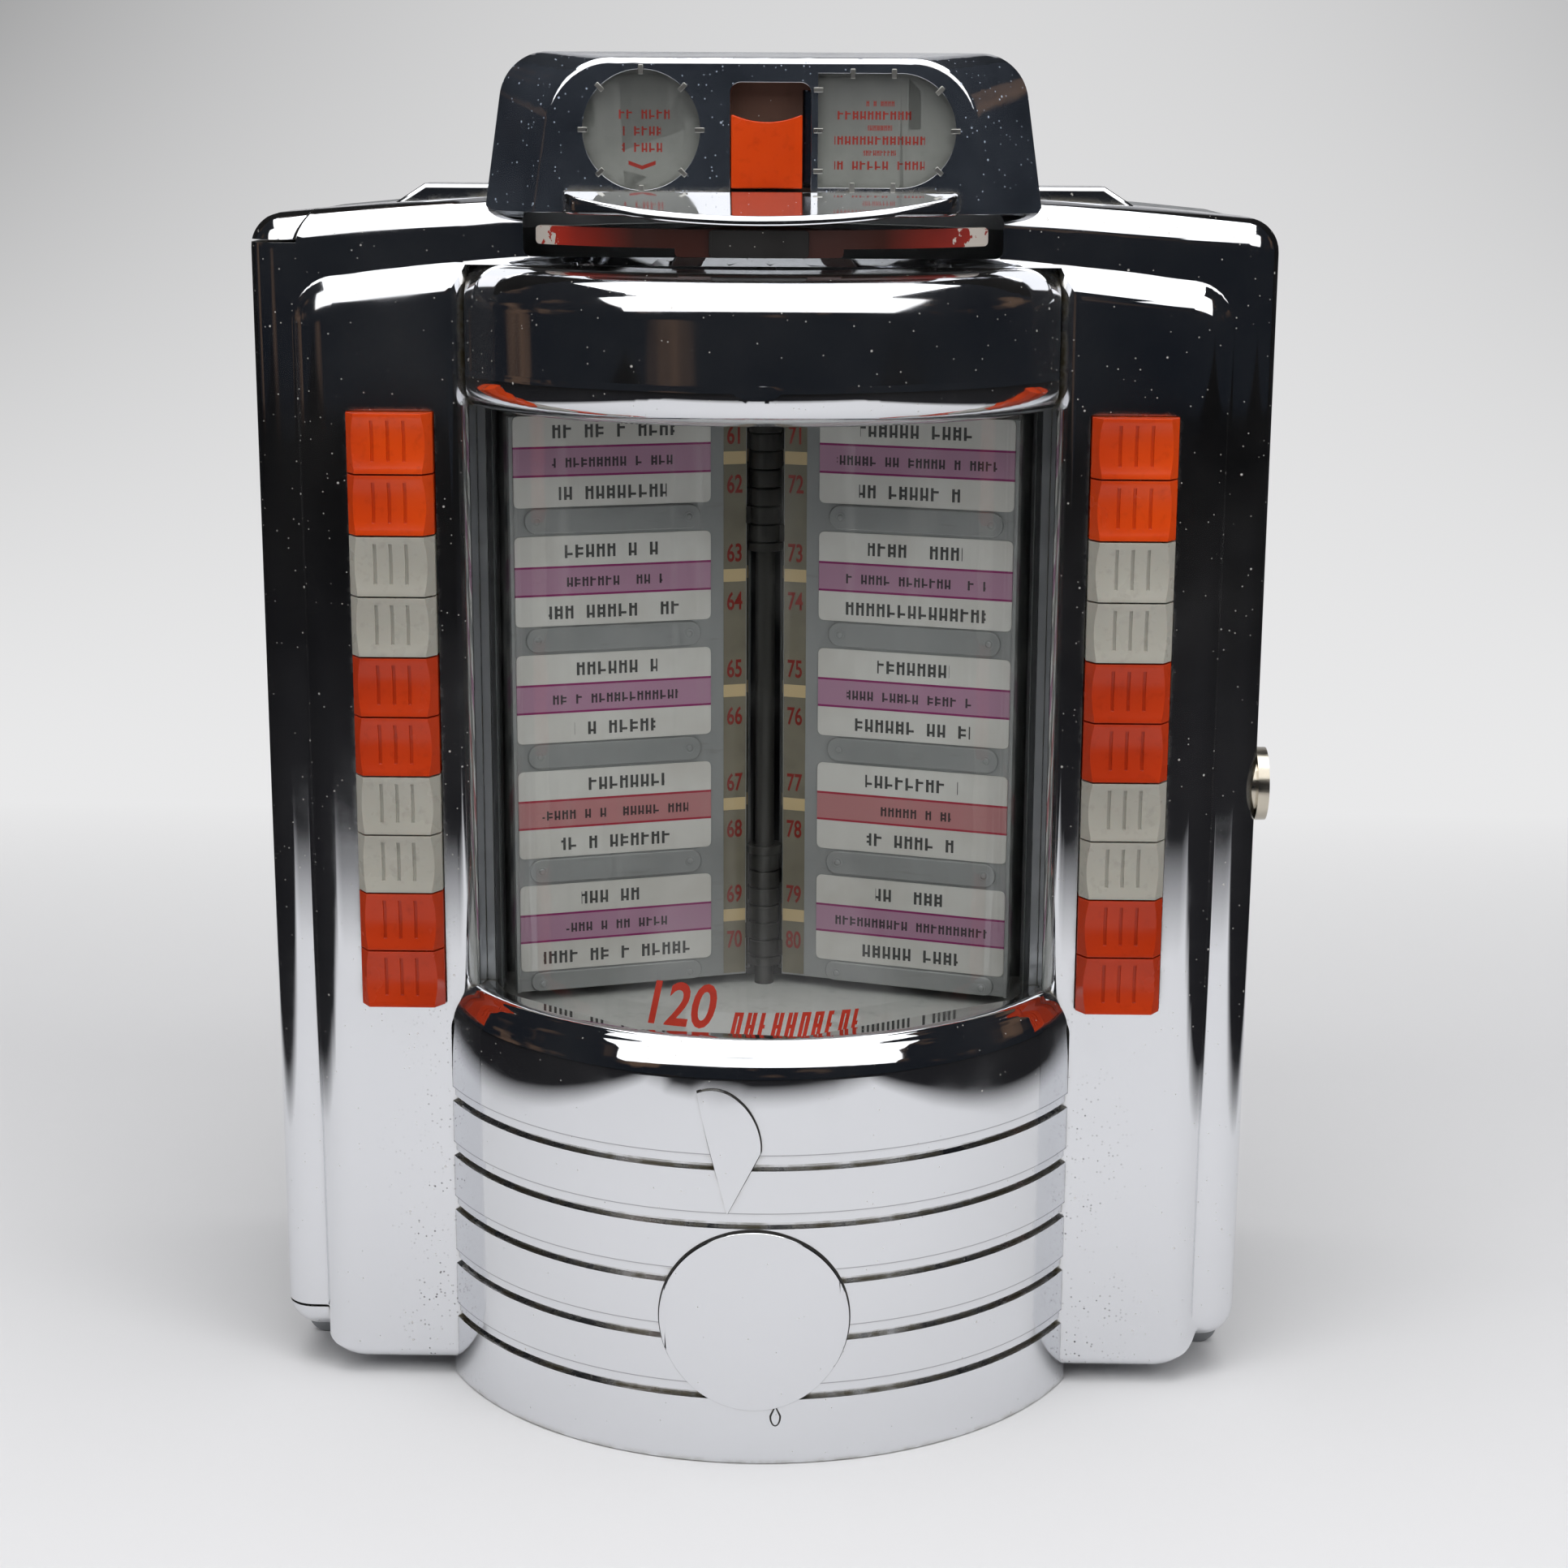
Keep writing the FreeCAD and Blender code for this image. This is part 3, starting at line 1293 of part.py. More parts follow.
def coin_chute():
    """Upright channel down the right rear corner, with a flared mouth."""
    x0, x1 = chute_x - chute_width / 2, chute_x + chute_width / 2
    y0, y1 = chute_y - chute_thickness / 2, chute_y + chute_thickness / 2
    outer = box(x0, x1, y0, y1, chute_bottom_z, chute_top_z)
    inner = box(x0 + chute_wall, x1 - chute_wall, y0 + chute_wall, y1 - chute_wall,
                chute_bottom_z - 1.0, chute_top_z + 1.0)
    flare_outer = Part.makeLoft([
        rectangle(x0, x1, y0, y1, chute_top_z),
        rectangle(x0, x1, y0 - chute_funnel, y1 + chute_funnel, chute_top_z + chute_funnel)],
        True, True)
    flare_inner = Part.makeLoft([
        rectangle(x0 + chute_wall, x1 - chute_wall, y0 + chute_wall, y1 - chute_wall,
                  chute_top_z),
        rectangle(x0 + chute_wall, x1 - chute_wall, y0 - chute_funnel + chute_wall,
                  y1 + chute_funnel - chute_wall, chute_top_z + chute_funnel)],
        True, True)
    arms = [box(x1, case_half_width - case_wall, y0, y0 + chute_arm, z, z + chute_arm_height)
            for z in chute_arm_zs]
    return fuse([outer, flare_outer] + arms).cut(inner).cut(flare_inner)


def rectangle(x0, x1, y0, y1, z):
    corners = [Vector(x0, y0, z), Vector(x1, y0, z), Vector(x1, y1, z), Vector(x0, y1, z)]
    return Part.makePolygon(corners + [corners[0]])


def coin_cup():
    x0, x1 = chute_x - cup_width / 2, chute_x + cup_width / 2
    y0 = case_back_y - case_back_edge_radius - cup_depth
    outer = box(x0, x1, y0, y0 + cup_depth, case_wall, case_wall + cup_height)
    inner = box(x0 + cup_wall, x1 - cup_wall, y0 + cup_wall, y0 + cup_depth - cup_wall,
                case_wall + cup_wall, case_wall + cup_height + 1.0)
    return outer.cut(inner)


def relay_unit():
    """Upright plate on the case floor with a row of coils and a folded foot."""
    half = relay_count * relay_pitch / 2 + 4.0
    y0 = relay_y
    plate = box(relay_x - half, relay_x + half, y0, y0 + relay_plate, case_wall,
                case_wall + relay_plate_height)
    foot = box(relay_x - half, relay_x + half, y0, y0 + relay_foot_depth,
               case_wall, case_wall + relay_plate)
    parts = [plate, foot]
    middle_z = case_wall + relay_plate_height * 0.55
    for index in range(relay_count):
        x = relay_x + (index - (relay_count - 1) / 2) * relay_pitch
        coil = cylinder(relay_coil_radius, relay_coil_length,
                        Vector(x, y0 - relay_coil_length, middle_z), Vector(0, 1, 0))
        end = cylinder(relay_coil_radius + 2.0, 1.6, Vector(x, y0 - relay_coil_length, middle_z),
                       Vector(0, 1, 0))
        yoke = box(x - relay_yoke_half_width, x + relay_yoke_half_width,
                   y0 - relay_coil_length, y0,
                   middle_z + relay_coil_radius + 0.5, middle_z + relay_coil_radius + 3.0)
        parts += [coil, end, yoke]
    return fuse(parts)


def terminal_strip():
    length = terminal_ways * terminal_pitch
    x0 = -length / 2
    z0 = cable_hole_z - 44.0
    y1 = case_back_y - case_wall
    body = box(x0, x0 + length, y1 - terminal_depth, y1, z0, z0 + terminal_height)
    for way in range(terminal_ways + 1):
        x = x0 + way * terminal_pitch
        slot = box(x - 0.8, x + 0.8, y1 - terminal_depth - 1.0, y1 - terminal_depth + 4.0,
                   z0 + 3.0, z0 + terminal_height - 3.0)
        body = body.cut(slot)
    return body


# ---------------------------------------------------------------- every node
def all_nodes():
    nodes = {
        "rear_case": rear_case(),
        "hinge_ears": hinge_ears(),
        "hinge_pins": hinge_pins(),
        "lock_strike": lock_strike(),
        "cable_grommet": cable_grommet(),
        "coin_chute": coin_chute(),
        "coin_cup": coin_cup(),
        "relay_unit": relay_unit(),
        "terminal_strip": terminal_strip(),
        "door_frame": door_frame(),
        "header_panel": header_panel(),
        "base_apron": base_apron(),
        "window_glass": window_glass(),
        "window_channels": window_channels(),
        "medallion": medallion(),
        "crest": crest(),
        "hood": hood(),
        "coin_pocket": coin_pocket(),
        "coin_return_key": coin_return_key(),
        "lens_round": lens_round(),
        "lens_d": lens_d(),
        "lens_tabs": lens_tabs(),
        "instruction_cards": instruction_cards(),
        "rack_right": rack(),
        "rack_left": mirror_x(rack()),
        "spindle": spindle(),
        "holder_floor": holder_floor(),
        "holder_bracket": holder_bracket(),
        "page_bar": page_bar(),
        "bar_block": bar_block(),
        "lock_body": lock_body(),
        "lock_plug": lock_plug(),
    }
    for index in range(leaf_count):
        nodes[f"leaf_{index + 1}"] = leaf(index)
    cap = button()
    for side, sign in (("left", -1), ("right", 1)):
        for index in range(button_count):
            copy = cap.copy()
            copy.translate(Vector(sign * button_middle_x(), 0, button_centre_z(index)))
            nodes[f"button_{side}_{button_count - index}"] = copy
    return nodes


os.makedirs("parts", exist_ok=True)
for name, shape in all_nodes().items():
    shape.exportStep(f"parts/{name}.step")
    bounds = shape.BoundBox
    print(f"{name:20s} solids {len(shape.Solids):2d} volume {shape.Volume:10.1f} "
          f"x {bounds.XMin:7.1f} {bounds.XMax:7.1f} y {bounds.YMin:7.1f} {bounds.YMax:7.1f} "
          f"z {bounds.ZMin:7.1f} {bounds.ZMax:7.1f} valid {shape.isValid()}")
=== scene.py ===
import math
import random

import bmesh
import bpy
from mathutils import Matrix, Vector


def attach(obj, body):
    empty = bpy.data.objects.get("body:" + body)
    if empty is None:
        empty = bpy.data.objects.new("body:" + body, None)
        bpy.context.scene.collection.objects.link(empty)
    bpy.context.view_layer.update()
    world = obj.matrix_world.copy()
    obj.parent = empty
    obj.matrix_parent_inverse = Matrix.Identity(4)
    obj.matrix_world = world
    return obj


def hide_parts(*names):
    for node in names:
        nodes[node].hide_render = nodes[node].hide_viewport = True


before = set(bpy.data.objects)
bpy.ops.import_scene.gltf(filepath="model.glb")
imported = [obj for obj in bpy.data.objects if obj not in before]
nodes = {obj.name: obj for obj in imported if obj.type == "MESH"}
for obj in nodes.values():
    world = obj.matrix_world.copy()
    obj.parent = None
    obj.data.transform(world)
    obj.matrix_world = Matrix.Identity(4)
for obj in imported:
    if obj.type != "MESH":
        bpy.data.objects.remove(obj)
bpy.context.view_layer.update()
print("frame loaded:", len(nodes), "nodes")

# bodies and stage are in metres, small pieces in millimetres until they are scaled by mm
mm = 0.001
perMetre = 1000.0
scene = bpy.context.scene
scene.view_settings.view_transform = "Standard"


# camera

cameraSettings = {
    "place": (0.02135, -0.8661, 0.3829),
    "pitch": 13.23,
    "yaw": 1.01,
    "roll": 0.29,
    "focal": 65.22,
    "sensor": 36.0,
    "reach": 30.0,
}


def addCamera(s):
    pitch, yaw, roll = (math.radians(s[key]) for key in ("pitch", "yaw", "roll"))
    ahead = Vector((-math.sin(yaw) * math.cos(pitch), math.cos(yaw) * math.cos(pitch), -math.sin(pitch)))
    right = Vector((math.cos(yaw), math.sin(yaw), 0))
    up = right.cross(ahead)
    right, up = (math.cos(roll) * right + math.sin(roll) * up,
                 math.cos(roll) * up - math.sin(roll) * right)
    data = bpy.data.cameras.new("photoCamera")
    data.lens = s["focal"]
    data.sensor_width = s["sensor"]
    data.clip_end = s["reach"]
    camera = bpy.data.objects.new("photoCamera", data)
    turn = Matrix((right, up, -ahead)).transposed().to_4x4()
    camera.matrix_world = Matrix.Translation(Vector(s["place"])) @ turn
    scene.collection.objects.link(camera)
    scene.camera = camera


addCamera(cameraSettings)


# small helpers, with angles in degrees and the weld in metres

meshing = {
    "weld": 2e-6,
    "flat": 0.3,
    "sharp": 30,
    "soften": 32,
    "softSegments": 2,
    "weight": 60,
}


def link(obj):
    scene.collection.objects.link(obj)
    return obj


def meshObject(name, bm, materials, smooth=None):
    mesh = bpy.data.meshes.new(name)
    if smooth is not None:
        for face in bm.faces:
            face.smooth = True
        for edge in bm.edges:
            edge.smooth = len(edge.link_faces) == 2 and edge.calc_face_angle(0) < math.radians(smooth)
    bm.to_mesh(mesh)
    bm.free()
    for material in materials:
        mesh.materials.append(material)
    return link(bpy.data.objects.new(name, mesh))


def weightNormals(obj):
    modifier = obj.modifiers.new("weighted", "WEIGHTED_NORMAL")
    modifier.keep_sharp = True
    modifier.weight = meshing["weight"]


def softenEdges(obj, width):
    modifier = obj.modifiers.new("soften", "BEVEL")
    modifier.limit_method = "ANGLE"
    modifier.angle_limit = math.radians(meshing["soften"])
    modifier.width = width * mm
    modifier.segments = meshing["softSegments"]
    modifier.use_clamp_overlap = True
    modifier.harden_normals = False


def mergedCopy(node):
    bm = bmesh.new()
    bm.from_mesh(nodes[node].data)
    bmesh.ops.remove_doubles(bm, verts=bm.verts, dist=meshing["weld"])
    bmesh.ops.dissolve_limit(bm, angle_limit=math.radians(meshing["flat"]), verts=bm.verts, edges=bm.edges)
    return bm


def roundEdges(bm, chosen, width, segments=4):
    least = math.radians(meshing["sharp"])
    sharp = [e for e in bm.edges if len(e.link_faces) == 2 and e.calc_face_angle(0) > least]
    bmesh.ops.bevel(bm, geom=[e for e in sharp if chosen(e)], offset=width * mm, affect="EDGES",
                    segments=segments, profile=0.5, material=-1, clamp_overlap=True)


def refine(node, body, material, soften, sharp=26, reshape=None):
    # same form as the node, with welded faces, even shading and softened edges
    bm = mergedCopy(node)
    if reshape:
        reshape(bm)
    obj = meshObject(node + "_finish", bm, [material], smooth=sharp)
    stale = obj.data.attributes.get("custom_normal")
    if stale:
        obj.data.attributes.remove(stale)
    softenEdges(obj, soften)
    weightNormals(obj)
    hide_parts(node)
    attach(obj, body)


# material tools

def feed(tree, socket, value):
    # a link where the value comes from another node, else a constant
    if isinstance(value, bpy.types.NodeSocket):
        tree.links.new(value, socket)
    elif socket.type == "RGBA" and len(value) == 3:
        socket.default_value = value + (1.0,)
    else:
        socket.default_value = value


def node(tree, kind, inputs=None, **settings):
    made = tree.nodes.new("ShaderNode" + kind)
    for key, value in settings.items():
        setattr(made, key, value)
    for key, value in (inputs or {}).items():
        feed(tree, made.inputs[key], value)
    return made


def newMaterial(name):
    material = bpy.data.materials.new(name)
    material.use_nodes = True
    return material, material.node_tree, material.node_tree.nodes["Principled BSDF"]


def place(tree, scale=(1, 1, 1)):
    coords = node(tree, "TexCoord")
    return node(tree, "Mapping", {"Vector": coords.outputs["Object"], "Scale": scale}).outputs["Vector"]


def axesOf(tree):
    coords = node(tree, "TexCoord")
    return node(tree, "SeparateXYZ", {0: coords.outputs["Object"]}).outputs


def noise(tree, vector, scale, detail=3.0, rough=0.55):
    inputs = {"Vector": vector, "Scale": scale, "Detail": detail, "Roughness": rough}
    return node(tree, "TexNoise", inputs).outputs["Fac"]


def ramp(tree, source, low, high, a=0.0, b=1.0):
    inputs = {"Value": source, "From Min": low, "From Max": high, "To Min": a, "To Max": b}
    return node(tree, "MapRange", inputs).outputs["Result"]


def maths(tree, kind, *values):
    return node(tree, "Math", dict(enumerate(values)), operation=kind).outputs[0]


def within(tree, value, middle, half):
    return maths(tree, "COMPARE", value, middle, half)


def blendColour(tree, factor, a, b):
    return node(tree, "Mix", {0: factor, 6: a, 7: b}, data_type="RGBA").outputs[2]


def mixShaders(tree, factor, a, b):
    return node(tree, "MixShader", {0: factor, 1: a, 2: b}).outputs[0]


def surface(tree, shading):
    feed(tree, tree.nodes["Material Output"].inputs["Surface"], shading)


def specks(tree, vector, scale, size, share):
    # small round spots, one in each chosen cell
    cells = node(tree, "TexVoronoi", {"Vector": vector, "Scale": scale})
    luck = node(tree, "SeparateColor", {"Color": cells.outputs["Color"]}).outputs[0]
    near = ramp(tree, cells.outputs["Distance"], size, size * 0.55)
    return maths(tree, "MULTIPLY", maths(tree, "LESS_THAN", luck, share), near)


def finishShader(tree, shader, colour, roughness, height, strength, distance):
    made = node(tree, "Bump", {"Strength": strength, "Distance": distance, "Height": height})
    sockets = {"Base Color": colour, "Roughness": roughness, "Normal": made.outputs["Normal"]}
    for key, value in sockets.items():
        feed(tree, shader.inputs[key], value)


def darker(colour, share):
    return tuple(c * share for c in colour)


def drifting(tree, cloud, a, b):
    # one tone that drifts into another
    return blendColour(tree, ramp(tree, cloud, 0.35, 0.7), a, b)


def chance(tree, a, b):
    # three even random numbers from a pair of whole ones
    join = node(tree, "CombineXYZ", {0: a, 1: b})
    made = node(tree, "TexWhiteNoise", {"Vector": join.outputs[0]}, noise_dimensions="2D")
    return node(tree, "SeparateColor", {"Color": made.outputs["Color"]}).outputs


# strokes in shares of their cell and line, and how often each one shows
strokeShape = {
    "left": (0.13, 0.13),
    "right": (0.63, 0.12),
    "cross": (0.38, 0.36),
    "barRise": 0.2,
    "barHalf": 0.09,
    "rightAbove": 0.3,
    "lowAbove": 0.45,
    "highBelow": 0.6,
    "gapBelow": 0.15,
}


def greekedLine(tree, across, up, serial, s, centre):
    # stand-in print: rows of short strokes with gaps, no letters
    shape = strokeShape
    column = maths(tree, "DIVIDE", across, s["cell"])
    inside = maths(tree, "FRACT", column)
    row = maths(tree, "ADD", serial, s["seed"]) if serial != 0 else s["seed"]
    luck = chance(tree, maths(tree, "FLOOR", column), row)
    left = within(tree, inside, *shape["left"])
    right = maths(tree, "MULTIPLY", within(tree, inside, *shape["right"]),
                  maths(tree, "GREATER_THAN", luck[1], shape["rightAbove"]))
    cross = within(tree, inside, *shape["cross"])
    rise, half = s["tall"] * shape["barRise"], s["tall"] * shape["barHalf"]
    lowBar = maths(tree, "MULTIPLY", within(tree, up, s["middle"] - rise, half),
                   maths(tree, "GREATER_THAN", luck[2], shape["lowAbove"]))
    highBar = maths(tree, "MULTIPLY", within(tree, up, s["middle"] + rise, half),
                    maths(tree, "LESS_THAN", luck[2], shape["highBelow"]))
    bars = maths(tree, "MULTIPLY", cross, maths(tree, "MAXIMUM", lowBar, highBar))
    strokes = maths(tree, "MAXIMUM", maths(tree, "MAXIMUM", left, right), bars)
    strokes = maths(tree, "MULTIPLY", strokes, maths(tree, "GREATER_THAN", luck[0], shape["gapBelow"]))
    strokes = maths(tree, "MULTIPLY", strokes, within(tree, up, s["middle"], s["tall"] / 2))
    reach = s["half"]
    if serial != 0:
        extent = chance(tree, serial, maths(tree, "ADD", row, 0.5))
        share = maths(tree, "ADD", maths(tree, "MULTIPLY", extent[0], 0.5), 0.5)
        reach = maths(tree, "MULTIPLY", share, s["half"])
    offset = maths(tree, "ABSOLUTE", maths(tree, "SUBTRACT", across, centre))
    return maths(tree, "MULTIPLY", strokes, maths(tree, "LESS_THAN", offset, reach))


# lengths in metres, but for the painted step shade lines
chromeSettings = {
    "colour": (0.755, 0.765, 0.79),
    # grime colour for inner corners, partly real grime and partly painted shade
    "grime": (0.20, 0.175, 0.11),
    "grimeAndShadeReach": 0.0035,
    "roughness": 0.035,
    "smear": 0.10,
    "fog": 0.05,
    "dull": 0.45,
    "wobble": 0.05,
    "pit": (0.10, 0.09, 0.09),
    "pitSide": 0.098,
    "pitSpread": 0.02,
    "pitLevels": (0.05, 0.13),
    # painted shade lines above the base's grooves
    "stepShadeColour": (0.12, 0.12, 0.13),
    "stepShadeStrength": 0.55,
    "stepShadeBand": (0.058, 0.040),
    "stepShadeFirst": 24.9,
    "stepShadePitch": 17.6,
    "stepShadeHalf": 0.16,
}


def seamLines(tree, up, s):
    # painted shade: dark hairlines round the base, one above each groove, where each small step shows shade
    rise = maths(tree, "SUBTRACT", maths(tree, "MULTIPLY", up, perMetre), s["stepShadeFirst"])
    turn = maths(tree, "DIVIDE", rise, s["stepShadePitch"])
    part = maths(tree, "ABSOLUTE", maths(tree, "SUBTRACT", turn, maths(tree, "ROUND", turn)))
    line = maths(tree, "LESS_THAN", part, s["stepShadeHalf"] / s["stepShadePitch"])
    return maths(tree, "MULTIPLY", line, within(tree, up, *s["stepShadeBand"]))


def chromeMaterial(name, s, pits=0.5, dust=0.06, film=0.012, stepShaded=False, dustAndSheen=(0.62, 0.60, 0.56)):
    material, tree, shader = newMaterial(name)
    vector = place(tree)
    feed(tree, shader.inputs["Metallic"], 1.0)
    clean = s["roughness"]
    smear = ramp(tree, noise(tree, vector, 34, 5.0, 0.6), 0.45, 0.75, clean, clean + s["smear"])
    fog = ramp(tree, noise(tree, vector, 9, 3.0, 0.6), 0.45, 0.7, 0.0, s["fog"])
    # grime and painted shade in inner corners: an occlusion mask darkens creases and grooves
    corner = node(tree, "AmbientOcclusion", {"Distance": s["grimeAndShadeReach"]}, samples=6)
    grimeAndShade = maths(tree, "MULTIPLY", ramp(tree, corner.outputs["AO"], 0.72, 0.35),
                  ramp(tree, noise(tree, vector, 160, 4.0), 0.38, 0.6, 0.25, 1.0))
    colour = blendColour(tree, grimeAndShade, s["colour"], s["grime"])
    # corrosion pits, thickest low down beside the base
    axes = axesOf(tree)
    offset = maths(tree, "SUBTRACT", maths(tree, "ABSOLUTE", axes["X"]), s["pitSide"])
    side = ramp(tree, maths(tree, "ABSOLUTE", offset), 0.0, s["pitSpread"], 1.0, 0.0)
    low = ramp(tree, axes["Z"], *s["pitLevels"], 1.0, 0.12)
    field = maths(tree, "MULTIPLY", maths(tree, "MULTIPLY", side, low),
                  ramp(tree, noise(tree, vector, 60, 3.0), 0.42, 0.62))
    holes = specks(tree, vector, 780, 0.3, 0.45)
    pitted = maths(tree, "MULTIPLY", holes, maths(tree, "MULTIPLY", field, pits))
    colour = blendColour(tree, pitted, colour, s["pit"])
    # painted shade: dark hairlines where the steps above the grooves show
    if stepShaded:
        lines = maths(tree, "MULTIPLY", seamLines(tree, axes["Z"], s), s["stepShadeStrength"])
        colour = blendColour(tree, lines, colour, s["stepShadeColour"])
    worn = maths(tree, "MULTIPLY", maths(tree, "MAXIMUM", grimeAndShade, pitted), s["dull"])
    rough = maths(tree, "ADD", maths(tree, "ADD", smear, fog), worn)
    finishShader(tree, shader, colour, rough, noise(tree, vector, 26, 2.0, 0.4), s["wobble"], 0.0006)
    # dust as a pale diffuse layer that shows on dark reflections; on the hood its bluish tint is also a
    # painted reflection
    fine, coarse = specks(tree, vector, 620, 0.16, dust), specks(tree, vector, 260, 0.12, dust * 0.8)
    spots = maths(tree, "MAXIMUM", fine, coarse)
    haze = ramp(tree, noise(tree, vector, 18, 5.0, 0.65), 0.35, 0.75, film * 0.4, film * 1.8)
    cover = maths(tree, "MAXIMUM", maths(tree, "MULTIPLY", spots, 0.7), haze)
    layer = node(tree, "BsdfDiffuse", {"Color": dustAndSheen})
    surface(tree, mixShaders(tree, cover, shader.outputs[0], layer.outputs[0]))
    return material


def metalMaterial(name, colour, roughness, dirt=0.2, metallic=1.0):
    material, tree, shader = newMaterial(name)
    vector = place(tree)
    feed(tree, shader.inputs["Metallic"], metallic)
    patch = ramp(tree, noise(tree, vector, 45, 4.0, 0.6), 0.45, 0.75, 0.0, dirt)
    rough = ramp(tree, noise(tree, vector, 120, 4.0), 0.3, 0.7, roughness * 0.8, roughness * 1.25)
    finishShader(tree, shader, blendColour(tree, patch, colour, darker(colour, 0.55)), rough,
                 noise(tree, vector, 700, 2.0), 0.12, 0.0002)
    return material


def plasticMaterial(name, colour, deep, roughness=0.28, glow=0.0, speckle=0.0):
    material, tree, shader = newMaterial(name)
    vector = place(tree)
    tone = drifting(tree, noise(tree, vector, 22, 3.0, 0.5), colour, deep)
    grime = ramp(tree, noise(tree, vector, 300, 4.0), 0.55, 0.8, 0.0, 0.35)
    tone = blendColour(tree, grime, tone, darker(deep, 0.55))
    if speckle:
        dust = maths(tree, "MULTIPLY", specks(tree, vector, 900, 0.2, 0.06), speckle)
        tone = blendColour(tree, dust, tone, (0.75, 0.72, 0.66))
    rough = ramp(tree, noise(tree, vector, 90, 3.0), 0.3, 0.7, roughness * 0.75, roughness * 1.3)
    finishShader(tree, shader, tone, rough, noise(tree, vector, 500, 2.0), 0.05, 0.0002)
    for key, value in (("Specular IOR Level", 0.3), ("Subsurface Weight", glow), ("Subsurface Scale", 0.004)):
        shader.inputs[key].default_value = value
    return material


print("materials")
chrome = chromeMaterial("chromeCasting", chromeSettings, pits=1.0, dust=0.16)
chromeBase = chromeMaterial("chromeBase", chromeSettings)
chromeApron = chromeMaterial("chromeApron", chromeSettings, stepShaded=True)
# the hood's film is partly dust and partly a painted bluish reflection
chromeHood = chromeMaterial("chromeHood", chromeSettings, pits=0.0, dust=0.5, film=0.04,
                            dustAndSheen=(0.50, 0.57, 0.68))
steel = metalMaterial("greySteel", (0.33, 0.34, 0.35), 0.45, dirt=0.35, metallic=0.85)
darkSteel = metalMaterial("darkSteel", (0.045, 0.043, 0.040), 0.5, dirt=0.4, metallic=0.5)
plated = metalMaterial("platedSteel", (0.62, 0.61, 0.57), 0.3)
brass = metalMaterial("brass", (0.62, 0.47, 0.24), 0.32)
nickel = metalMaterial("lockNickel", (0.60, 0.55, 0.46), 0.22, dirt=0.5)
rubber = plasticMaterial("blackRubber", (0.02, 0.02, 0.02), (0.035, 0.034, 0.033), 0.7)
brown = plasticMaterial("brownPhenolic", (0.10, 0.045, 0.022), (0.06, 0.028, 0.016), 0.4)
pocketBrown = plasticMaterial("pocketBrown", (0.155, 0.085, 0.060), (0.11, 0.06, 0.043), 0.5, speckle=0.7)
blackPlastic = plasticMaterial("blackMoulding", (0.012, 0.012, 0.012), (0.02, 0.018, 0.017), 0.45,
                               speckle=0.4)
orange = plasticMaterial("orangeKey", (0.66, 0.062, 0.005), (0.50, 0.038, 0.004), 0.22, glow=0.12)
orangeDeep = plasticMaterial("orangeKeyLow", (0.50, 0.040, 0.006), (0.38, 0.026, 0.004), 0.22, glow=0.12)
grey = plasticMaterial("greyKey", (0.40, 0.385, 0.335), (0.34, 0.325, 0.28), 0.3, glow=0.08)
floorGrey = plasticMaterial("holderFloor", (0.56, 0.56, 0.55), (0.48, 0.48, 0.47), 0.5, speckle=0.3)


glassSettings = {
    "tint": (0.94, 0.95, 0.94),
    "shine": (0.95, 0.95, 0.95),
    "roughness": 0.015,
    "ior": 1.5,
    "dust": (0.75, 0.75, 0.72),
    "stretch": 0.02,
}


def glassMaterial(name, s, film):
    # clear sheet with a faint film of dust and upright wiping streaks
    material, tree, shader = newMaterial(name)
    tree.nodes.remove(shader)
    clear = node(tree, "BsdfTransparent", {"Color": s["tint"]})
    shine = node(tree, "BsdfGlossy", {"Color": s["shine"], "Roughness": s["roughness"]})
    outside = maths(tree, "SUBTRACT", 1.0, node(tree, "NewGeometry").outputs["Backfacing"])
    gloss = maths(tree, "MULTIPLY", node(tree, "Fresnel", {"IOR": s["ior"]}).outputs[0], outside)
    body = mixShaders(tree, gloss, clear.outputs[0], shine.outputs[0])
    haze = node(tree, "BsdfDiffuse", {"Color": s["dust"]})
    upright = place(tree, scale=(1, 1, s["stretch"]))
    streak = ramp(tree, noise(tree, upright, 240, 2.0), 0.55, 0.75, 0.0, film)
    cloud = ramp(tree, noise(tree, place(tree), 60, 4.0), 0.5, 0.8, 0.0, film * 0.5)
    surface(tree, mixShaders(tree, maths(tree, "ADD", streak, cloud), body, haze.outputs[0]))
    return material


windowClear = glassMaterial("windowGlass", glassSettings, film=0.035)
lensClear = glassMaterial("lensPlastic", glassSettings, film=0.05)


# stage and light, in metres

stageSettings = {
    "floor": (0.80, 0.80, 0.81),
    "dark": (0.012, 0.012, 0.014),
    "front": 3.0,
    "frontEdge": -0.62,
    "frontFade": 0.22,
    "sideEdge": 0.40,
    "sideFade": 0.08,
    "backStart": 0.75,
    "sweepRadius": 0.5,
    "sweepSteps": 24,
    "width": 3.2,
    "height": 2.2,
    "farFrom": (0.25, 0.7),
    "farTint": (0.993, 0.993, 1.0),
    "horizon": 0.82,
    "climb": 0.5,
    "upFall": 0.14,
    "sideFall": 0.75,
    "brightSide": 0.08,
}


